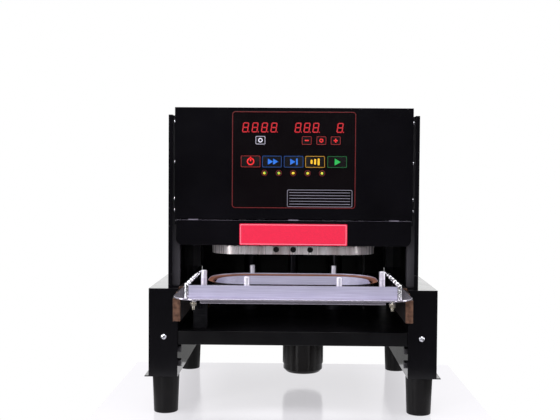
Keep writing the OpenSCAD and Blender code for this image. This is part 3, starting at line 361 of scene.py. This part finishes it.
def refinish(material, *names):
    """CAD nodes whose shape is right take the material as they are"""
    for name in names:
        nodes[name].data.materials.clear()
        nodes[name].data.materials.append(material)


black_gloss = gloss_paint("black_gloss", (0.0022, 0.0020, 0.0028), (0.0032, 0.0029, 0.0042),
                          0.11, 0.17, specular=0.28)
for node in ["left_leg_box", "right_leg_box", "rear_panel", "front_fascia"]:
    rounded_copy(node, fold_r).data.materials.append(black_gloss)

# The folds that face up and outwards are coloured pale lavender, a painted highlight where they
# catch the light. The top cover has the widest fold.
painted_fold_highlight = gloss_paint("painted_fold_highlight", (0.14, 0.125, 0.17), (0.22, 0.195, 0.26), 0.26, 0.36)
for node, radius, segments, direction in (("top_cover", wide_fold_r, 4, (0, -0.7, 0.7)),
                                          ("safety_door", fold_r, 2, (0, -0.7, 0.7)),
                                          ("left_side_panel", fold_r, 2, (-0.7, -0.7, 0)),
                                          ("right_side_panel", fold_r, 2, (0.7, -0.7, 0))):
    sheet = rounded_copy(node, radius, segments)
    sheet.data.materials.append(black_gloss)
    face_finish(sheet, painted_fold_highlight, direction, 0.8)

# The deck is thicker folded sheet, because the press stands on it, and the corner posts are
# square tube. Both are painted in a duller black than the covers.
black_satin = gloss_paint("black_satin", (0.0022, 0.0020, 0.0027), (0.0032, 0.003, 0.004),
                          0.34, 0.44, specular=0.2)
rounded_copy("deck_plate", fold_r).data.materials.append(black_satin)
post_grey = gloss_paint("post_grey", (0.030, 0.028, 0.034), (0.050, 0.047, 0.056), 0.30, 0.42)
rounded_copy("corner_posts", fold_r).data.materials.append(post_grey)

# The feet are tapered rubber, moulded in black with a fine matt grain and a soft lower edge.
# Each is held by a bolt up into its leg box.
foot_rubber, tree, shader = node_tree("foot_rubber")
mottle(tree, shader, noise(tree, 60), (0.0022, 0.0020, 0.0023), (0.0045, 0.004, 0.0045))
shader.inputs["Roughness"].default_value = 0.36
shader.inputs["Specular IOR Level"].default_value = 0.16
bump(tree, shader, noise(tree, 2400, detail=1), 0.2, 0.00005)
rounded_copy("rubber_feet", 1.1 * MM, 3).data.materials.append(foot_rubber)

# Zinc plated fasteners: the pan head screws on the leg fronts have a pressed cross recess, and
# the button heads that hold the side panels are the same screw in black.


def brushed(name, colour, other, rough_low, rough_high, stretch, metallic=1.0, fine=420,
            depth=0.00002):
    """Metal with a directional grain: stretch is small along the grain"""
    material, tree, shader = node_tree(name)
    shader.inputs["Metallic"].default_value = metallic
    streaks = noise(tree, fine, stretch, detail=2.5)
    mottle(tree, shader, streaks, colour, other)
    uneven_gloss(tree, shader, noise(tree, 30), rough_low, rough_high)
    bump(tree, shader, streaks, 0.35, depth)
    return material


zinc = brushed("zinc", (0.66, 0.66, 0.72), (0.80, 0.80, 0.86), 0.20, 0.30, (1, 1, 1), fine=300)
head_r = 4.0 * MM
head_h = 2.5 * MM
recess_l = 4.6 * MM
recess_w = 0.9 * MM
recess_d = 1.3 * MM


def cross_head(name, radius, height):
    """A domed screw head on the XY plane, pointing up, with a cross recess"""
    bpy.ops.mesh.primitive_uv_sphere_add(segments=32, ring_count=16, radius=1)
    head = bpy.context.object
    head.name = name
    bpy.ops.object.mode_set(mode="EDIT")
    bpy.ops.mesh.select_all(action="SELECT")
    bpy.ops.mesh.bisect(plane_co=(0, 0, 0), plane_no=(0, 0, 1), clear_inner=True, use_fill=True)
    bpy.ops.mesh.select_all(action="SELECT")
    bpy.ops.transform.resize(value=(radius, radius, height), center_override=(0, 0, 0))
    bpy.ops.object.mode_set(mode="OBJECT")
    for turn in (0, pi / 2):
        bpy.ops.mesh.primitive_cube_add(size=1, location=(0, 0, height), rotation=(0, 0, turn))
        cutter = bpy.context.object
        cutter.scale = (recess_l * radius / head_r, recess_w, 2 * recess_d)
        bpy.ops.object.transform_apply(location=True, rotation=True, scale=True)
        only(head)
        cut = head.modifiers.new("recess", "BOOLEAN")
        cut.object = cutter
        cut.operation = "DIFFERENCE"
        bpy.ops.object.modifier_apply(modifier="recess")
        bpy.data.objects.remove(cutter)
    only(head)
    bpy.ops.object.shade_smooth_by_angle(angle=radians(40))
    return head


def set_copies(pattern, name, places):
    """Copies of a piece, each with its own mesh, turned and moved to its place"""
    made = []
    for index, place in enumerate(places):
        piece = pattern.copy()
        piece.data = pattern.data.copy()
        piece.name = f"{name}_{index + 1}"
        piece.data.transform(place)
        bpy.context.scene.collection.objects.link(piece)
        made.append(piece)
    bpy.data.objects.remove(pattern)
    return made


low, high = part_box("front_leg_screws")
screw_z = (low.z + high.z) / 2
facing_front = Matrix.Rotation(pi / 2, 4, "X")
places = [Matrix.Translation((side * (high.x - head_r), leg_front, screw_z)) @ facing_front
          for side in (-1, 1)]
head = cross_head("leg_screw", head_r, head_h)
head.data.materials.append(zinc)
for piece in set_copies(head, "leg_screw", places):
    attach(piece, "machine")
    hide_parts("front_leg_screws")

black_screw = gloss_paint("black_screw", (0.012, 0.012, 0.014), (0.03, 0.03, 0.034), 0.22, 0.32)
low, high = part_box("side_panel_screws")
panel_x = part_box("right_side_panel")[1].x
button_r = 4.25 * MM
places = []
for side in (-1, 1):
    turn = Matrix.Rotation(side * pi / 2, 4, "Y")
    for y in (low.y + button_r, high.y - button_r):
        for z in (low.z + button_r, high.z - button_r):
            places.append(Matrix.Translation((side * panel_x, y, z)) @ turn)
head = cross_head("panel_screw", button_r, high.x - panel_x)
head.data.materials.append(black_screw)
for piece in set_copies(head, "panel_screw", places):
    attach(piece, "machine")
    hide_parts("side_panel_screws")
rounded_copy("head_plate_screws", 0.5 * MM).data.materials.append(black_screw)
rounded_copy("fascia_fixings", 0.4 * MM).data.materials.append(zinc)
refinish(zinc, "foot_bolts", "door_rod")
bolt_dark = brushed("bolt_dark", (0.05, 0.048, 0.055), (0.10, 0.095, 0.105), 0.34, 0.46,
                    (1, 1, 1), fine=300)
rounded_copy("inner_leg_bolts", 0.4 * MM).data.materials.append(bolt_dark)

# The mould is a thick aluminium plate with milled faces, brushed along its length and anodised
# with a faint lavender cast. Its top is polished and its edges are broken by a small chamfer.
mould_metal = brushed("mould_metal", (0.44, 0.42, 0.58), (0.56, 0.54, 0.70), 0.34, 0.44,
                      (0.06, 1, 2.2), 0.55)
mould_polish = brushed("mould_polish", (0.36, 0.30, 0.40), (0.50, 0.44, 0.54), 0.06, 0.12,
                       (0.1, 1, 1), depth=0.000004)
mould = rounded_copy("mould_plate", 0.4 * MM)
mould.data.materials.append(mould_metal)
face_finish(mould, mould_polish, (0, 0, 1))

# The ribbed edging, pins, studs and nuts of the mould are turned steel. The edging is bright, the
# pins are duller, and the studs and nuts are zinc plated and passivated yellow.
bright_steel = brushed("bright_steel", (0.72, 0.71, 0.76), (0.86, 0.85, 0.90), 0.10, 0.20,
                       (1, 1, 0.1))
rounded_copy("edge_ribs", 0.35 * MM, 2, 30).data.materials.append(bright_steel)
pin_steel = brushed("pin_steel", (0.62, 0.60, 0.70), (0.76, 0.74, 0.83), 0.26, 0.36,
                    (1, 1, 0.1), 0.6)
rounded_copy("locating_pins", 0.25 * MM).data.materials.append(pin_steel)
passivated = brushed("passivated", (0.66, 0.58, 0.42), (0.84, 0.80, 0.76), 0.16, 0.26,
                     (1, 1, 1), 0.8, fine=140)
rounded_copy("float_studs", 0.25 * MM).data.materials.append(passivated)

# Four small compression springs of round wire sit on the studs. On the machine they shorten as
# the mould lifts and flatten towards the underside of the carriage plate; here each is a fixed
# coil.
low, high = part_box("float_springs")
stud_low, stud_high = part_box("float_studs")
wire_r = 0.4 * MM
coil_r = 3.6 * MM
coil_turns = 2.75
coil_steps = 88
washer_edge = 4.75 * MM
coil_rise = high.z - low.z - 2 * wire_r
bpy.ops.mesh.primitive_circle_add(vertices=12, radius=wire_r, fill_type="NGON",
                                  location=(coil_r, 0, 0), rotation=(pi / 2, 0, 0))
spring = bpy.context.object
spring.name = "float_spring"
bpy.ops.object.transform_apply(location=True, rotation=True, scale=True)
winding = spring.modifiers.new("winding", "SCREW")
winding.angle = coil_turns * 2 * pi
winding.screw_offset = coil_rise
winding.steps = winding.render_steps = coil_steps
bpy.ops.object.modifier_apply(modifier="winding")
bpy.ops.object.mode_set(mode="EDIT")
bpy.ops.mesh.select_all(action="SELECT")
bpy.ops.mesh.fill_holes(sides=0)
bpy.ops.mesh.normals_make_consistent(inside=False)
bpy.ops.object.mode_set(mode="OBJECT")
bpy.ops.object.shade_smooth_by_angle(angle=radians(50))
spring.data.materials.append(bright_steel)
places = [Matrix.Translation((x, y, low.z + wire_r))
          for x in (stud_low.x + washer_edge, stud_high.x - washer_edge)
          for y in (stud_low.y + washer_edge, stud_high.y - washer_edge)]
for piece in set_copies(spring, "float_spring", places):
    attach(piece, "drawer")
    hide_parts("float_springs")
    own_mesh(piece)

# The silicone seal lies on the rim ledge, a soft terracotta ring with a slight sheen. It is
# moulded in one piece and evens out the pressure of the heater.
silicone, tree, shader = node_tree("silicone")
mottle(tree, shader, noise(tree, 90), (0.16, 0.060, 0.035), (0.22, 0.085, 0.05))
shader.inputs["Roughness"].default_value = 0.45
bump(tree, shader, noise(tree, 1500, detail=1), 0.2, 0.00004)
rounded_copy("rim_seal", 0.45 * MM, 3).data.materials.append(silicone)

# The carriage plate and its folded tray are polished stainless sheet, brown-black where the top
# reflects the dark body.
stainless = brushed("stainless", (0.50, 0.46, 0.55), (0.62, 0.58, 0.68), 0.14, 0.24,
                    (0.08, 1, 1), 0.8)
for node in ["carriage_plate", "carriage_tray"]:
    rounded_copy(node, 0.6 * MM, 3).data.materials.append(stainless)

# The rails are cold-rolled steel with a dark phosphate coat. Their cut front ends are bare and
# have browned with rust.
rail_end, tree, shader = node_tree("rail_end")
shader.inputs["Metallic"].default_value = 0.3
mottle(tree, shader, noise(tree, 210, detail=5), (0.060, 0.026, 0.016), (0.17, 0.085, 0.055),
       0.35, 0.65)
uneven_gloss(tree, shader, noise(tree, 120), 0.36, 0.55)
bump(tree, shader, noise(tree, 700), 0.3, 0.00006)
rail_metal = brushed("rail_metal", (0.020, 0.017, 0.017), (0.045, 0.038, 0.037), 0.36, 0.5,
                     (1, 0.1, 1), 0.7)
for node in ["inner_rails", "middle_rails", "outer_rails"]:
    rail = rounded_copy(node, 0.3 * MM)
    rail.data.materials.append(rail_metal)
    face_finish(rail, rail_end, (0, -1, 0))

# The heater plate is ground aluminium with a vertical grain. Its colour has light and brownish
# dark vertical bands, which are painted streaks of reflection.
# Its three cartridges sit just inside the front face and are coloured near black, as painted
# shade of the holes they sit in.
heater_metal, tree, shader = node_tree("heater_metal")
shader.inputs["Metallic"].default_value = 0.5
mottle(tree, shader, noise(tree, 60, (1, 0.3, 0.02)), (0.50, 0.43, 0.43), (0.90, 0.86, 0.88),
       0.36, 0.64)
uneven_gloss(tree, shader, noise(tree, 160, (1, 1, 0.03)), 0.25, 0.30)
bump(tree, shader, noise(tree, 900, (1, 1, 0.02)), 0.25, 0.00002)
rounded_copy("heater_plate", 0.6 * MM).data.materials.append(heater_metal)
cartridge_painted_shade, tree, shader = node_tree("cartridge_painted_shade")
shader.inputs["Metallic"].default_value = 0.6
mottle(tree, shader, noise(tree, 300), (0.006, 0.005, 0.006), (0.014, 0.012, 0.012))
shader.inputs["Roughness"].default_value = 0.6
refinish(cartridge_painted_shade, "cartridge_heaters")

# Turned and ground steel of the press and the drawer drive: the columns, the screws, the coupling
# and the bearing. They are coloured near black, as painted shade of the unlit inside of the
# machine. The thermocouple is a bare bright tube.
painted_shade_steel = brushed("painted_shade_steel", (0.020, 0.019, 0.023), (0.042, 0.040, 0.047), 0.24, 0.34, (1, 1, 0.1))
refinish(painted_shade_steel, "guide_columns", "press_screw", "press_coupling", "drawer_screw", "thrust_bearing")
refinish(bright_steel, "thermocouple")

# The plates and blocks of the press and the drive are machined steel with a black oxide finish,
# and the power supply has a plain steel case.
machined = brushed("machined", (0.018, 0.018, 0.021), (0.035, 0.034, 0.039), 0.36, 0.48,
                   (0.2, 1, 1))
for node in ["column_flanges", "head_plate", "press_head", "screw_blocks"]:
    rounded_copy(node, 0.5 * MM).data.materials.append(machined)
case_steel = brushed("case_steel", (0.30, 0.31, 0.33), (0.42, 0.43, 0.45), 0.36, 0.48, (0.2, 1, 1))
rounded_copy("power_supply", 0.8 * MM).data.materials.append(case_steel)

# The nuts and bushes are turned from bronze and dark with oil. They run on the screws and on the
# guide columns.
bronze = brushed("bronze", (0.06, 0.040, 0.018), (0.11, 0.075, 0.032), 0.30, 0.42, (1, 1, 0.2))
for node in ["press_nut", "guide_bushes", "drawer_nut_block"]:
    rounded_copy(node, 0.4 * MM).data.materials.append(bronze)

# The motors: a gloss black can with a stepped end below the deck, and cast gearboxes in a dull
# dark paint over the rough skin of the casting.
motor_paint = gloss_paint("motor_paint", (0.0030, 0.0022, 0.0022), (0.0045, 0.0034, 0.0034),
                          0.16, 0.24, specular=0.2)
rounded_copy("press_motor", 0.8 * MM, 3, 20).data.materials.append(motor_paint)
cast_paint = gloss_paint("cast_paint", (0.010, 0.010, 0.011), (0.018, 0.018, 0.020),
                         0.45, 0.6, 0.4)
for node in ["press_gearbox", "drawer_motor"]:
    rounded_copy(node, 0.8 * MM).data.materials.append(cast_paint)

# Insulating spacers of pressed mineral fibre between the arm plate and the heater. They keep the
# heat out of the press head.
spacer_fibre, tree, shader = node_tree("spacer_fibre")
mottle(tree, shader, noise(tree, 420, detail=4), (0.20, 0.17, 0.12), (0.30, 0.26, 0.19))
shader.inputs["Roughness"].default_value = 0.85
bump(tree, shader, noise(tree, 1200), 0.4, 0.0001)
refinish(spacer_fibre, "heat_spacers")

# The control overlay is a black polyester sheet, glossy on its face, with printed lines. A thin
# dark red line runs round it just inside its edge.


def print_ink(name, colour, glow=0.0, roughness=0.3):
    """Printed or lit colour with a slightly uneven face; a glow on printed ink is painted light"""
    material, tree, shader = node_tree(name)
    dull = tuple(0.85 * c for c in colour)
    mottle(tree, shader, noise(tree, 700), dull, colour)
    shader.inputs["Roughness"].default_value = roughness
    if glow:
        shader.inputs["Emission Color"].default_value = (*colour, 1)
        shader.inputs["Emission Strength"].default_value = glow
    return material


def sheet_piece(name, x0, x1, z0, z1, radius, front, back, line=0.0, corners=5):
    """A thin upright sheet with round corners, facing the front, or a frame of a line's width"""
    bpy.ops.mesh.primitive_plane_add(size=1, location=((x0 + x1) / 2, back, (z0 + z1) / 2),
                                     rotation=(pi / 2, 0, 0))
    piece = bpy.context.object
    piece.name = name
    piece.scale = (x1 - x0, z1 - z0, 1)
    bpy.ops.object.transform_apply(location=True, rotation=True, scale=True)
    bpy.ops.object.mode_set(mode="EDIT")
    bpy.ops.mesh.select_all(action="SELECT")
    bpy.ops.mesh.bevel(offset=radius, segments=corners, affect="VERTICES")
    if line:
        bpy.ops.mesh.select_all(action="SELECT")
        bpy.ops.mesh.inset(thickness=line)
        bpy.ops.mesh.delete(type="FACE")
    bpy.ops.mesh.select_all(action="SELECT")
    bpy.ops.mesh.extrude_region_move(TRANSFORM_OT_translate={"value": (0, front - back, 0)})
    bpy.ops.mesh.select_all(action="SELECT")
    bpy.ops.mesh.normals_make_consistent(inside=False)
    bpy.ops.object.mode_set(mode="OBJECT")
    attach(piece, "machine")
    return piece


def round_piece(name, x, z, radius, front, back, line=0.0):
    """A thin upright disc that faces the front, or a ring of a line's width"""
    return sheet_piece(name, x - radius, x + radius, z - radius, z + radius, 0.98 * radius,
                       front, back, line, 8)


low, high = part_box("control_overlay")
overlay_front = low.y
ink_y = overlay_front - 0.12 * MM
overlay_black = gloss_paint("overlay_black", (0.0024, 0.0016, 0.0022), (0.0032, 0.0022, 0.003),
                            0.16, 0.22, specular=0.25)
rounded_copy("control_overlay", 0.2 * MM).data.materials.append(overlay_black)
ink_dark_red = print_ink("ink_dark_red", (0.135, 0.007, 0.009))
edge = 0.6 * MM
outline_r = 4.2 * MM
outline_w = 0.9 * MM
outline = sheet_piece("overlay_outline", low.x + edge, high.x - edge, low.z + edge, high.z - edge,
                      outline_r, ink_y, overlay_front, outline_w)
outline.data.materials.append(ink_dark_red)

# Digit windows show seven-segment figures, slanted, with every segment and point lit in red.
# The modules behind them are dark red blocks.
display_dark = print_ink("display_dark", (0.05, 0.006, 0.008), roughness=0.2)
refinish(display_dark, "digit_modules")
display_red = print_ink("display_red", (0.38, 0.007, 0.013), 0.4)
digit_h = 14.0 * MM
digit_w = 8.6 * MM
stroke = 1.7 * MM
stroke_gap = 0.15 * MM
point_r = 0.8 * MM
point_gap = 2.0 * MM
figure_t = 0.12 * MM
slant = radians(8)
digit_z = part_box("digit_modules")[0].z + 9 * MM
digit_starts = [-71.5, -58.4, -45.3, -32.2, 1.2, 13.6, 26.0, 59.5]


def segment(length, upright, x, z):
    """One bar of a figure with pointed ends"""
    bpy.ops.mesh.primitive_cylinder_add(vertices=6, radius=stroke / 2, depth=figure_t)
    bar = bpy.context.object
    bpy.ops.object.mode_set(mode="EDIT")
    bpy.ops.mesh.select_all(action="SELECT")
    bpy.ops.transform.rotate(value=pi / 6, orient_axis="Z", center_override=(0, 0, 0))
    bpy.ops.object.mode_set(mode="OBJECT")
    reach = length / 2 - stroke / 2 - stroke_gap
    for vertex in bar.data.vertices:
        if abs(vertex.co.x) > stroke / 8:
            vertex.co.x += reach if vertex.co.x > 0 else -reach
    turn = Matrix.Rotation(pi / 2, 4, "Z") if upright else Matrix.Identity(4)
    bar.data.transform(Matrix.Translation((x, 0, z)) @ Matrix.Rotation(pi / 2, 4, "X") @ turn)
    return bar


half_w = (digit_w - stroke) / 2
half_h = (digit_h - stroke) / 2
bars = [segment(2 * half_w, False, 0, level * half_h) for level in (-1, 0, 1)]
bars += [segment(half_h, True, side * half_w, level * half_h / 2)
         for side in (-1, 1) for level in (-1, 1)]
bpy.ops.mesh.primitive_cylinder_add(vertices=12, radius=point_r, depth=figure_t,
                                    rotation=(pi / 2, 0, 0),
                                    location=(half_w + point_gap, 0, -half_h))
bars.append(bpy.context.object)
bpy.ops.object.select_all(action="DESELECT")
for bar in bars:
    bar.select_set(True)
bpy.context.view_layer.objects.active = bars[0]
bpy.ops.object.join()
figure = bpy.context.object
bpy.ops.object.transform_apply(location=True, rotation=True, scale=True)
for vertex in figure.data.vertices:
    vertex.co.x += vertex.co.z * tan(slant)
figure.data.materials.append(display_red)
places = [Matrix.Translation((start * MM + digit_w / 2, overlay_front - figure_t / 2, digit_z))
          for start in digit_starts]
for piece in set_copies(figure, "figure", places):
    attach(piece, "machine")

# The keys are membrane switches under the sheet: each is a printed frame with a plain mark in its
# colour, on a face that stands a little proud.
low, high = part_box("control_keys")
key_front = low.y
key_face = gloss_paint("key_face", (0.0035, 0.0028, 0.0034), (0.005, 0.004, 0.005), 0.22, 0.30)
# The printed marks on the keys are given a faint glow, which is painted light.
painted_glow_inks = {
    "red": print_ink("ink_red", (0.70, 0.012, 0.014), 0.25),
    "blue": print_ink("ink_blue", (0.010, 0.13, 0.56), 0.25),
    "yellow": print_ink("ink_yellow", (0.80, 0.43, 0.010), 0.25),
    "green": print_ink("ink_green", (0.010, 0.35, 0.06), 0.25),
    "white": print_ink("ink_white", (0.62, 0.60, 0.72), 0.15),
}
frame_inks = {
    "red": print_ink("frame_red", (0.22, 0.008, 0.010)),
    "blue": print_ink("frame_blue", (0.006, 0.045, 0.19)),
    "yellow": print_ink("frame_yellow", (0.40, 0.20, 0.008)),
    "green": print_ink("frame_green", (0.006, 0.10, 0.025)),
    "white": print_ink("frame_white", (0.40, 0.38, 0.47)),
}
mark_y = key_front - 0.10 * MM
key_r = 1.5 * MM
key_line = 0.8 * MM
arrow_r = 4.9 * MM


def bar_mark(name, x, z, width, height, colour):
    """A printed bar with round ends"""
    r = 0.45 * min(width, height)
    piece = sheet_piece(name, -width / 2, width / 2, -height / 2, height / 2, r,
                        mark_y, key_front, corners=4)
    piece.parent = None
    piece.data.transform(Matrix.Translation((x, 0, z)))
    piece.data.materials.append(painted_glow_inks[colour])
    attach(piece, "machine")


def arrow_mark(name, x, z, size, colour):
    """A printed solid triangle that points right"""
    bpy.ops.mesh.primitive_cylinder_add(vertices=3, radius=size, depth=key_front - mark_y)
    piece = bpy.context.object
    piece.name = name
    bpy.ops.object.mode_set(mode="EDIT")
    bpy.ops.mesh.select_all(action="SELECT")
    bpy.ops.mesh.bevel(offset=0.5 * MM, segments=2, affect="EDGES")
    bpy.ops.object.mode_set(mode="OBJECT")
    flat = Matrix.Rotation(pi / 2, 4, "X") @ Matrix.Rotation(-pi / 2, 4, "Z")
    piece.data.transform(Matrix.Translation((x, (key_front + mark_y) / 2, z)) @ flat)
    piece.data.materials.append(painted_glow_inks[colour])
    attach(piece, "machine")


def ring_mark(name, x, z, radius, line, colour):
    """A printed ring"""
    ring = round_piece(name, x, z, radius, mark_y, key_front, line)
    ring.data.materials.append(painted_glow_inks[colour])


def key(name, x, z, width, height, colour):
    """A raised key face with a printed frame in the key's colour"""
    place = (x - width / 2, x + width / 2, z - height / 2, z + height / 2, key_r)
    face = sheet_piece(name, *place, key_front, overlay_front)
    face.data.materials.append(key_face)
    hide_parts("control_keys")
    rim = sheet_piece(name + "_frame", *place, mark_y, key_front, key_line)
    rim.data.materials.append(frame_inks[colour])


big_z = low.z + 8 * MM
big_w = 27 * MM
big_h = 16 * MM
for name, x, colour in (("power_key", -60, "red"), ("auto_key", -30.4, "blue"),
                        ("step_key", -0.3, "blue"), ("feed_key", 29.5, "yellow"),
                        ("start_key", 60.1, "green")):
    key(name, x * MM, big_z, big_w, big_h, colour)
ring_mark("power_ring", -60 * MM, big_z, 5.2 * MM, 1.7 * MM, "red")
bar_mark("power_bar", -60 * MM, big_z + 3.4 * MM, 2.0 * MM, 6.4 * MM, "red")
arrow_mark("auto_arrow_1", -33.6 * MM, big_z, arrow_r, "blue")
arrow_mark("auto_arrow_2", -26.4 * MM, big_z, arrow_r, "blue")
arrow_mark("step_arrow", -2.6 * MM, big_z, arrow_r, "blue")
bar_mark("step_bar", 4.2 * MM, big_z, 2.3 * MM, 9.2 * MM, "blue")
for index, x in enumerate((24.6, 29.5, 34.4)):
    bar_mark(f"feed_bar_{index + 1}", x * MM, big_z, 2.7 * MM, (6.0 + 1.8 * index) * MM, "yellow")
arrow_mark("start_arrow", 59.4 * MM, big_z, 5.7 * MM, "green")
small_z = high.z - 5.75 * MM
small_w = 13.5 * MM
small_h = 11.5 * MM
for name, x, colour in (("clear_key", -46.5, "white"), ("minus_key", 17.7, "red"),
                        ("select_key", 38, "red"), ("plus_key", 57.8, "red")):
    key(name, x * MM, small_z, small_w, small_h, colour)
ring_mark("clear_ring", -46.5 * MM, small_z, 3.1 * MM, 1.3 * MM, "white")
bar_mark("minus_bar", 17.7 * MM, small_z, 5.6 * MM, 1.7 * MM, "red")
ring_mark("select_ring", 38 * MM, small_z, 2.7 * MM, 1.2 * MM, "red")
bar_mark("plus_bar", 57.8 * MM, small_z, 5.6 * MM, 1.7 * MM, "red")
bar_mark("plus_post", 57.8 * MM, small_z, 1.7 * MM, 5.6 * MM, "red")

# Status lamps: small domes of yellow and green light on round windows with a dark red ring. The
# ring is printed, and the window is a dark patch of the same sheet.
low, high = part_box("status_lamps")
lamp_r = (high.z - low.z) / 2
lamp_z = (high.z + low.z) / 2
lamp_xs = (-40.6, -20.7, -0.8, 19.3, 39.3)
lamp_line = 0.7 * MM
lamp_print = 0.08 * MM
dome_size = (2.1 * MM, 0.35 * MM, 1.9 * MM)
dome_drop = 0.2 * MM
lens_dark = print_ink("lens_dark", (0.010, 0.007, 0.006), roughness=0.2)
lamp_light, tree, shader = node_tree("lamp_light")
spot = tint(tree, noise(tree, 330, detail=1), (0.02, 0.30, 0.03), (0.62, 0.40, 0.02), 0.42, 0.56)
tree.links.new(spot, shader.inputs["Base Color"])
tree.links.new(spot, shader.inputs["Emission Color"])
shader.inputs["Emission Strength"].default_value = 0.35
shader.inputs["Roughness"].default_value = 0.25
for index, x in enumerate(lamp_xs):
    x *= MM
    lens = round_piece(f"lamp_lens_{index + 1}", x, lamp_z, lamp_r, low.y, overlay_front)
    lens.data.materials.append(lens_dark)
    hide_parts("status_lamps")
    ring = round_piece(f"lamp_ring_{index + 1}", x, lamp_z, lamp_r, low.y - lamp_print, low.y,
                       lamp_line)
    ring.data.materials.append(ink_dark_red)
    bpy.ops.mesh.primitive_uv_sphere_add(segments=20, ring_count=10, radius=1)
    dome = bpy.context.object
    dome.name = f"lamp_dome_{index + 1}"
    dome.data.transform(Matrix.Translation((x, low.y, lamp_z - dome_drop))
                        @ Matrix.Diagonal((*dome_size, 1)))
    bpy.ops.object.shade_smooth()
    dome.data.materials.append(lamp_light)
    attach(dome, "machine")

# A ruled panel in pale grey lines is printed below the lamps, on the right. It is ink on the
# overlay's sheet, a thin frame with five rules inside.
rule_x0 = -9 * MM
rule_x1 = 81.5 * MM
rule_z0 = 287.5 * MM
rule_z1 = 311.5 * MM
rule_inset = 3 * MM
rule_half = 0.35 * MM
rule_ink = print_ink("rule_ink", (0.21, 0.20, 0.26))
frame_piece = sheet_piece("ruled_frame", rule_x0, rule_x1, rule_z0, rule_z1, 2.2 * MM,
                          ink_y, overlay_front, 2 * rule_half)
frame_piece.data.materials.append(rule_ink)
rule_count = 5
for index in range(rule_count):
    z = rule_z0 + (index + 1) * (rule_z1 - rule_z0) / (rule_count + 1)
    rule = sheet_piece(f"rule_{index + 1}", rule_x0 + rule_inset, rule_x1 - rule_inset,
                       z - rule_half, z + rule_half, 0.3 * MM, ink_y, overlay_front, corners=2)
    rule.data.materials.append(rule_ink)

# The plate on the safety door is a bare red label with round corners and a pale line inside its
# edge, stuck flat on the paint.
low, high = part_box("door_plate")
plate_red = print_ink("plate_red", (0.72, 0.004, 0.048), roughness=0.4)
plate_line = print_ink("plate_line", (0.84, 0.34, 0.43), roughness=0.4)
label = sheet_piece("door_label", low.x, high.x, low.z, high.z, 1.6 * MM, low.y, high.y)
label.data.materials.append(plate_red)
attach(label, "door")
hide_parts("door_plate")
edge = 1.3 * MM
border = sheet_piece("label_border", low.x + edge, high.x - edge, low.z + edge, high.z - edge,
                     1.1 * MM, low.y - 0.06 * MM, low.y, 0.6 * MM)
border.data.materials.append(plate_line)
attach(border, "door")

# Moulded plastic: the inlet, the rocker and its bezel, and the small switches. Only the rocker
# is red, the others are black with a fine grain.
dark_plastic, tree, shader = node_tree("dark_plastic")
mottle(tree, shader, noise(tree, 50), (0.010, 0.010, 0.011), (0.016, 0.016, 0.018))
shader.inputs["Roughness"].default_value = 0.42
bump(tree, shader, noise(tree, 1800, detail=1), 0.3, 0.00004)
for node in ["power_inlet", "rocker_bezel", "door_switch", "limit_switches"]:
    rounded_copy(node, 0.4 * MM).data.materials.append(dark_plastic)
rocker_red = print_ink("rocker_red", (0.45, 0.012, 0.016))
rounded_copy("power_rocker", 0.4 * MM).data.materials.append(rocker_red)

# The control board is glass fibre under green solder resist. Its low components are part of the
# same piece and share the coat.
board_green, tree, shader = node_tree("board_green")
mottle(tree, shader, noise(tree, 260, detail=4), (0.008, 0.06, 0.022), (0.02, 0.11, 0.045))
shader.inputs["Roughness"].default_value = 0.38
bump(tree, shader, noise(tree, 900), 0.3, 0.00005)
rounded_copy("control_board", 0.3 * MM).data.materials.append(board_green)
